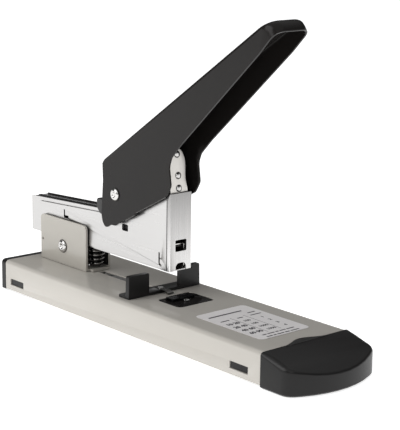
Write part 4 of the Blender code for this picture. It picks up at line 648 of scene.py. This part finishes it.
def build_staples():
    """The glued strip, with the groove between each wire and the next."""
    low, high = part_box("staple_strip")
    count = round((high.x - low.x) / STAPLE_WIRE)
    pitch = (high.x - low.x) / count
    shape = bmesh.new()
    for index in range(count):
        rear = low.x + pitch * index
        spans = ((0.0, STAPLE_ROUNDING), (STAPLE_ROUNDING, 0.0), (pitch - STAPLE_ROUNDING, 0.0))
        rings = []
        for along, inset in (*spans, (pitch, STAPLE_ROUNDING)):
            outline = staple_outline(low, high, inset)
            rings.append([shape.verts.new((rear + along, across, z)) for across, z in outline])
        for ring, after in zip(rings, rings[1:]):
            for step in range(len(ring)):
                beside = (step + 1) % len(ring)
                shape.faces.new((ring[step], ring[beside], after[beside], after[step]))
        shape.faces.new(rings[0])
        shape.faces.new(rings[-1])
    bmesh.ops.recalc_face_normals(shape, faces=shape.faces)
    piece = add_piece("staple_wires", shape, body_of_node("staple_strip"), galvanised_wire())
    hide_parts("staple_strip")


# Rivets

RIVET_SIDES = 40
HEAD_PIN_SHANK = 2.2 * MM
HEAD_PIN_HEAD = 4.1 * MM
HANDLE_PIN_SHANK = 3.0 * MM
HANDLE_PIN_HEAD = 3.9 * MM
PIN_HEAD_RISE = 1.3 * MM
BLADE_HEAD_RISE = 0.62 * MM
# Width and rise of the ring of painted shade round each rivet's head
SEAM_WIDTH = 0.35 * MM
SEAM_RISE = 0.03 * MM

# A head's section from rim to middle, as shares of its radius and of its rise: a rolled ring round
# the hollow that the setting tool leaves
SET_HEAD_SHARES = (
    (1.0, 0.0),
    (1.0, 0.18),
    (0.97, 0.38),
    (0.90, 0.60),
    (0.80, 0.80),
    (0.68, 0.94),
    (0.56, 1.0),
    (0.46, 0.95),
    (0.38, 0.78),
    (0.32, 0.55),
    (0.26, 0.42),
    (0.14, 0.38),
    (0.01, 0.37),
)


def two_headed_rivet(node, shank, head, steel, shade_line):
    """A long rivet across the machine with a rolled head at each end and a dark ring of painted shade round
    each.
    """
    low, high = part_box(node)
    centre = (low + high) / 2
    reach = (high.y - low.y) / 2 - PIN_HEAD_RISE
    near = [(-reach - along * PIN_HEAD_RISE, radius * head) for radius, along in SET_HEAD_SHARES]
    far = [(-along, radius) for along, radius in near]
    profile = [*near[::-1], (-reach, shank), (reach, shank), *far]
    shape = turned(profile, (0.0, 1.0, 0.0), centre, RIVET_SIDES)
    piece = add_piece(f"{node}_turned", shape, body_of_node(node), steel)
    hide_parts(node)
    for side, word in ((-1, "near"), (1, "far")):
        foot = centre + Vector((0.0, side * (reach - SEAM_RISE), 0.0))
        seam_ring(f"{node}_seam_{word}", foot, (0.0, side, 0.0), head, body_of_node(node), shade_line)


def seam_ring(name, foot, axis, radius, body, finish):
    """Painted shade round a rivet's head: a thin, almost black ring at its foot, a little wider than it."""
    inner = radius - SEAM_WIDTH
    outer = radius + SEAM_WIDTH
    profile = ((0.0, inner), (0.0, outer), (SEAM_RISE, outer), (SEAM_RISE, inner))
    add_piece(name, turned(profile, axis, foot, RIVET_SIDES), body, finish)


def build_rivets():
    """The head's and the lever's hinge rivets, and the small ones of the blade, stand and guide."""
    steel = turned_steel()
    shade_line = painted_seam_shade()
    two_headed_rivet("head_pivot_pin", HEAD_PIN_SHANK, HEAD_PIN_HEAD, steel, shade_line)
    two_headed_rivet("handle_pivot_pin", HANDLE_PIN_SHANK, HANDLE_PIN_HEAD, steel, shade_line)
    names = ("blade_rivet_top", "blade_rivet_middle", "blade_rivet_bottom")
    boxes = [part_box(name) for name in names]
    crowns = [Vector((high.x, 0.0, (low.z + high.z) / 2)) for low, high in boxes]
    lean = (crowns[0] - crowns[1]).normalized()
    facing = Vector((lean.z, 0.0, -lean.x))
    for name, (low, high), crown in zip(names, boxes, crowns):
        take_over(name, KEEN_EDGE, steel)
        foot = crown - facing * BLADE_HEAD_RISE
        seam_ring(f"{name}_seam", foot, facing, (high.y - low.y) / 2, body_of_node(name), shade_line)
    for name in ("bracket_rivet_front", "bracket_rivet_rear", "guide_rivet", "anvil_screw"):
        take_over(name, CRISP_EDGE, steel)


# Printed table on the label: ruled columns, plain numbers, and bars in place of words. Places along
# the base count from the label's rear edge, and those across it from the middle.

INK_THICKNESS = 0.02 * MM
INK_LIFT = 0.005 * MM
RULE_WIDTH = 0.3 * MM
RULE_START = 16.0 * MM
RULE_END = 48.5 * MM
RULE_PLACES = (-5.8 * MM, 4.5 * MM)
HEADING_PLACE = 8.6 * MM
HEADING_SPAN = (-15.6 * MM, 10.0 * MM)
HEADING_WIDTH = 1.5 * MM
BAR_WIDTH = 1.1 * MM
FIRST_ROW = 18.8 * MM
ROW_PITCH = 6.5 * MM
COLUMN_STARTS = (-16.4 * MM, -3.3 * MM, 10.6 * MM)
DIGIT_SIZES = (4.2 * MM, 3.4 * MM, 3.4 * MM)
DIGIT_WEIGHTS = (0.22 * MM, 0.12 * MM, 0.16 * MM)
TABLE_ROWS = (("10 20", "100", "1"), ("20 40", "100", "2"), ("40 60", "1000", "3"), ("60 90", "1000", "4"))
TITLE_BARS = (
    (18.6 * MM, -15.2 * MM, 6.6 * MM),
    (18.8 * MM, -2.4 * MM, 4.4 * MM),
    (14.3 * MM, 9.8 * MM, 5.8 * MM),
    (18.9 * MM, 8.0 * MM, 8.2 * MM),
)
NOTE_PLACES = (51.4 * MM, 55.2 * MM)
NOTE_START = -13.0 * MM
NOTE_GAP = 0.8 * MM
NOTE_WORDS = (
    (3.2 * MM, 5.4 * MM, 2.4 * MM, 4.6 * MM, 5.8 * MM),
    (4.4 * MM, 2.2 * MM, 5.2 * MM, 3.6 * MM, 6.4 * MM),
)


def ink_bar(shape, along, across, top):
    """One flat bar of ink between two places along the base and two across it."""
    spots = ((along[0], across[0]), (along[1], across[0]), (along[1], across[1]), (along[0], across[1]))
    lower = [shape.verts.new((x, y, top)) for x, y in spots]
    upper = [shape.verts.new((x, y, top + INK_THICKNESS)) for x, y in spots]
    shape.faces.new(lower[::-1])
    shape.faces.new(upper)
    for step in range(4):
        beside = (step + 1) % 4
        shape.faces.new((lower[step], lower[beside], upper[beside], upper[step]))


def ink_number(shape, digits, size, weight, along, across, top):
    """Plain digits that read across the base, their feet towards the nose."""
    curve = bpy.data.curves.new("digits", "FONT")
    curve.body = digits
    curve.size = size
    curve.offset = weight
    curve.extrude = INK_THICKNESS / 2
    curve.resolution_u = 2
    carrier = bpy.data.objects.new("digits", curve)
    mesh = bpy.data.meshes.new_from_object(carrier)
    turn = Matrix(((0.0, -1.0, 0.0), (1.0, 0.0, 0.0), (0.0, 0.0, 1.0))).to_4x4()
    mesh.transform(Matrix.Translation((along, across, top + INK_THICKNESS / 2)) @ turn)
    shape.from_mesh(mesh)
    bpy.data.objects.remove(carrier)
    bpy.data.meshes.remove(mesh)


def build_table():
    """All the ink of the label as one piece, just clear of the film."""
    low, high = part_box("size_label")
    top = high.z + INK_LIFT
    shape = bmesh.new()
    for across in RULE_PLACES:
        along = (low.x + RULE_START, low.x + RULE_END)
        ink_bar(shape, along, (across - RULE_WIDTH / 2, across + RULE_WIDTH / 2), top)
    bars = [(HEADING_PLACE, HEADING_SPAN[0], HEADING_SPAN[1] - HEADING_SPAN[0], HEADING_WIDTH)]
    bars += [(*title, BAR_WIDTH) for title in TITLE_BARS]
    for place, words in zip(NOTE_PLACES, NOTE_WORDS):
        start = NOTE_START
        for length in words:
            bars.append((place, start, length, BAR_WIDTH))
            start += length + NOTE_GAP
    for place, start, length, width in bars:
        middle = low.x + place
        ink_bar(shape, (middle - width / 2, middle + width / 2), (start, start + length), top)
    for row, entries in enumerate(TABLE_ROWS, start=1):
        foot = low.x + FIRST_ROW + row * ROW_PITCH
        for digits, size, weight, start in zip(entries, DIGIT_SIZES, DIGIT_WEIGHTS, COLUMN_STARTS):
            ink_number(shape, digits, size, weight, foot + size / 3, start, top)
    add_piece("label_table", shape, body_of_node("size_label"), printing_ink())


# The finish of each group of pieces

POCKET_DEPTH = 0.6 * MM


def dress_base():
    """Base channel, stand, caps, feet, anvil and the rail under the slot."""
    enamel = grey_stove_enamel()
    take_over("base_channel", GENTLE_EDGE, enamel)
    # The stand's inward faces take a near-black painted shade
    dark_inside(take_over("stand_bracket", FULL_EDGE, bracket_enamel(), painted_shade_inner_enamel()))
    plastic = black_moulded_abs()
    take_over("nose_cap", ROUNDED_EDGE, plastic)
    take_over("rear_cap", BROAD_EDGE, plastic)
    rubber = foot_rubber()
    for end in ("front", "rear"):
        for side in ("left", "right"):
            take_over(f"rubber_foot_{end}_{side}", EASED_EDGE, rubber)
    # The anvil plate's rounded edges take a painted highlight
    take_over("anvil_plate", ROUNDED_EDGE, black_stove_enamel(), painted_highlight_black_edge(), painted_edge_highlight=True)
    zinc = zinc_plated_steel()
    die = take_over("clinch_die", FIRM_EDGE, blued_die_steel(), satin_nickel())
    die_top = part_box("clinch_die")[1].z
    for face in die.data.polygons:
        if face.normal.z > 0.5 and face.center.z < die_top - POCKET_DEPTH / 2:
            face.material_index = 1
    take_over("anvil_support", EASED_EDGE, zinc)
    take_over("guide_rail", FIRM_EDGE, zinc)
    take_over("size_label", HAIR_EDGE, label_film())


def dress_guide():
    """The paper guide with its strip and clip."""
    take_over("paper_guide", FULL_EDGE, black_moulded_abs())
    take_over("guide_slide_strip", FIRM_EDGE, satin_nickel())
    take_over("guide_spring_clip", THIN_SHEET_EDGE, spring_steel())


def dress_head():
    """Side plates, column, magazine and what is inside them."""
    nickel = satin_nickel()
    # Inward faces of the plates, channel and column, and the whole core rail, take a near-black painted shade
    inner_painted_shade = painted_shade_inner_steel()
    for name in ("side_plate_left", "side_plate_right", "magazine_channel"):
        dark_inside(take_over(name, THIN_SHEET_EDGE, nickel, inner_painted_shade))
    dark_inside(take_over("column_cover", THIN_SHEET_EDGE, brushed_column_nickel(), inner_painted_shade))
    take_over("core_rail", CRISP_EDGE, inner_painted_shade)
    zinc = zinc_plated_steel()
    inner = ("pivot_bush", "magazine_end_plate", "magazine_lid", "follower_rod")
    for name in (*inner, "handle_bush", "handle_washer_left", "handle_washer_right"):
        take_over(name, CRISP_EDGE, zinc)
    gloss = glossy_moulded_abs()
    take_over("top_cover", GENTLE_EDGE, gloss)
    take_over("saddle_block", BROAD_EDGE, gloss)
    take_over("staple_follower", ROUNDED_EDGE, black_moulded_abs())


# Width of the strip of painted shade along each column flange
SEAM_STRIP_WIDTH = 0.7 * MM


def build_column_seam():
    """Painted shade: a thin dark strip along the rear edge of the column's two flanges."""
    low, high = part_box("column_cover")
    shade_line = painted_seam_shade()
    for side, word in ((-1, "near"), (1, "far")):
        skin = side * high.y
        shape = bmesh.new()
        outer = skin + side * SEAM_RISE
        spots = [(x, y) for x in (low.x, low.x + SEAM_STRIP_WIDTH) for y in (skin, outer)]
        rings = [[shape.verts.new((x, y, z)) for x, y in spots] for z in (low.z, high.z)]
        for ring in rings:
            shape.faces.new([ring[index] for index in (0, 1, 3, 2)])
        for first, second in ((0, 1), (1, 3), (3, 2), (2, 0)):
            shape.faces.new((rings[0][first], rings[0][second], rings[1][second], rings[1][first]))
        bmesh.ops.recalc_face_normals(shape, faces=shape.faces)
        add_piece(f"column_seam_{word}", shape, body_of_node("column_cover"), shade_line)


def dress_driver():
    """The blade and its carrier."""
    take_over("driver_blade", FIRM_EDGE, polished_blade_steel())
    take_over("ram_carrier", FIRM_EDGE, zinc_plated_steel())


def dress_lever():
    """The lever, the fork inside it, its pin and sleeve."""
    # The lever's rounded edges take a painted highlight
    take_over("handle_shell", ROUNDED_EDGE, black_stove_enamel(), painted_highlight_black_edge(), painted_edge_highlight=True)
    zinc = zinc_plated_steel()
    for name in ("drive_bracket", "drive_pin", "drive_sleeve"):
        take_over(name, FIRM_EDGE, zinc)


# Floor, camera and light

FLOOR_SIZE = 60.0
FLOOR_DROP = 0.2 * MM
FLOOR_GLOW = 0.78


def build_floor():
    """A plain pale floor, lit from below like a light table, so that it stays white."""
    shape = bmesh.new()
    half = FLOOR_SIZE / 2
    corners = ((-half, -half), (half, -half), (half, half), (-half, half))
    shape.faces.new([shape.verts.new((x, y, -FLOOR_DROP)) for x, y in corners])
    mesh = bpy.data.meshes.new("pale_floor")
    shape.to_mesh(mesh)
    shape.free()
    opal = make_finish(
        "opal_glass_floor",
        colours=("#F4F4F4", "#F2F2F2"),
        roughness=(0.8, 0.9),
        grain=(30.0, 30.0, 30.0),
        relief=0.0,
    )
    shader = opal.node_tree.nodes["Principled BSDF"]
    shader.inputs["Emission Color"].default_value = linear("#FFFFFF")
    shader.inputs["Emission Strength"].default_value = FLOOR_GLOW
    mesh.materials.append(opal)
    floor = bpy.data.objects.new("pale_floor", mesh)
    bpy.context.scene.collection.objects.link(floor)


def build_camera():
    """The camera at the photograph's place, turned as the photograph is."""
    data = bpy.data.cameras.new("photo_camera")
    data.sensor_width = SENSOR
    data.lens = SENSOR * FOCAL_PX / IMAGE_HEIGHT_PX
    data.clip_start = 0.01
    camera = bpy.data.objects.new("photo_camera", data)
    bpy.context.scene.collection.objects.link(camera)
    level = Vector((-math.sin(CAMERA_AZIMUTH), math.cos(CAMERA_AZIMUTH), 0.0))
    ahead = level * math.cos(CAMERA_DOWN) - Vector((0.0, 0.0, math.sin(CAMERA_DOWN)))
    right = ahead.cross(Vector((0.0, 0.0, 1.0))).normalized()
    up = right.cross(ahead)
    cos, sin = math.cos(CAMERA_ROLL), math.sin(CAMERA_ROLL)
    turned_right = right * cos + up * sin
    turned_up = up * cos - right * sin
    turn = Matrix((turned_right, turned_up, -ahead)).transposed()
    camera.matrix_world = Matrix.Translation(CAMERA_PLACE) @ turn.to_4x4()
    bpy.context.scene.camera = camera


def add_softbox(name, place, size, power):
    """A square soft light that looks at the middle of the machine."""
    data = bpy.data.lights.new(name, "AREA")
    data.size = size
    data.energy = power
    lamp = bpy.data.objects.new(name, data)
    bpy.context.scene.collection.objects.link(lamp)
    lamp.location = place
    lamp.rotation_euler = (LIGHT_TARGET - place).to_track_quat("-Z", "Y").to_euler()


# The surround, from the horizon up: bright low down and dim overhead, by the sine of the height
SURROUND = ((0.0, 1.0), (0.08, 0.9), (0.16, 0.1), (0.5, 0.08), (0.8, 0.6), (1.0, 0.72))
LIGHT_TARGET = Vector((0.0, 0.0, 0.06))
SOFTBOXES = (
    ("key_softbox", (-0.35, -1.15, 0.85), 1.0, 9.5),
    ("camera_side_softbox", (1.1, -0.8, 0.95), 0.7, 2.0),
)


def build_light():
    """A pale surround that dims overhead, and soft boxes: the strongest low on the left."""
    bpy.context.scene.view_settings.view_transform = "Standard"
    world = bpy.data.worlds.new("pale_surround")
    world.use_nodes = True
    tree = world.node_tree
    place = add_node(tree, "ShaderNodeTexCoord").outputs["Generated"]
    height = add_node(tree, "ShaderNodeSeparateXYZ", {"Vector": place}).outputs["Z"]
    ramp = add_node(tree, "ShaderNodeValToRGB", {"Fac": height})
    stops = ramp.color_ramp.elements
    for index, (share, shade) in enumerate(SURROUND):
        stop = stops[index] if index < 2 else stops.new(share)
        stop.position = share
        stop.color = (shade, shade, shade, 1.0)
    tree.links.new(ramp.outputs["Color"], tree.nodes["Background"].inputs["Color"])
    bpy.context.scene.world = world
    for name, place, size, power in SOFTBOXES:
        add_softbox(name, Vector(place), size, power)


def main():
    """Camera, light and floor, and every group of pieces."""
    build_camera()
    build_light()
    build_floor()
    dress_base()
    dress_guide()
    dress_head()
    dress_driver()
    dress_lever()
    build_rivets()
    build_springs()
    build_staples()
    build_table()
    build_column_seam()


main()
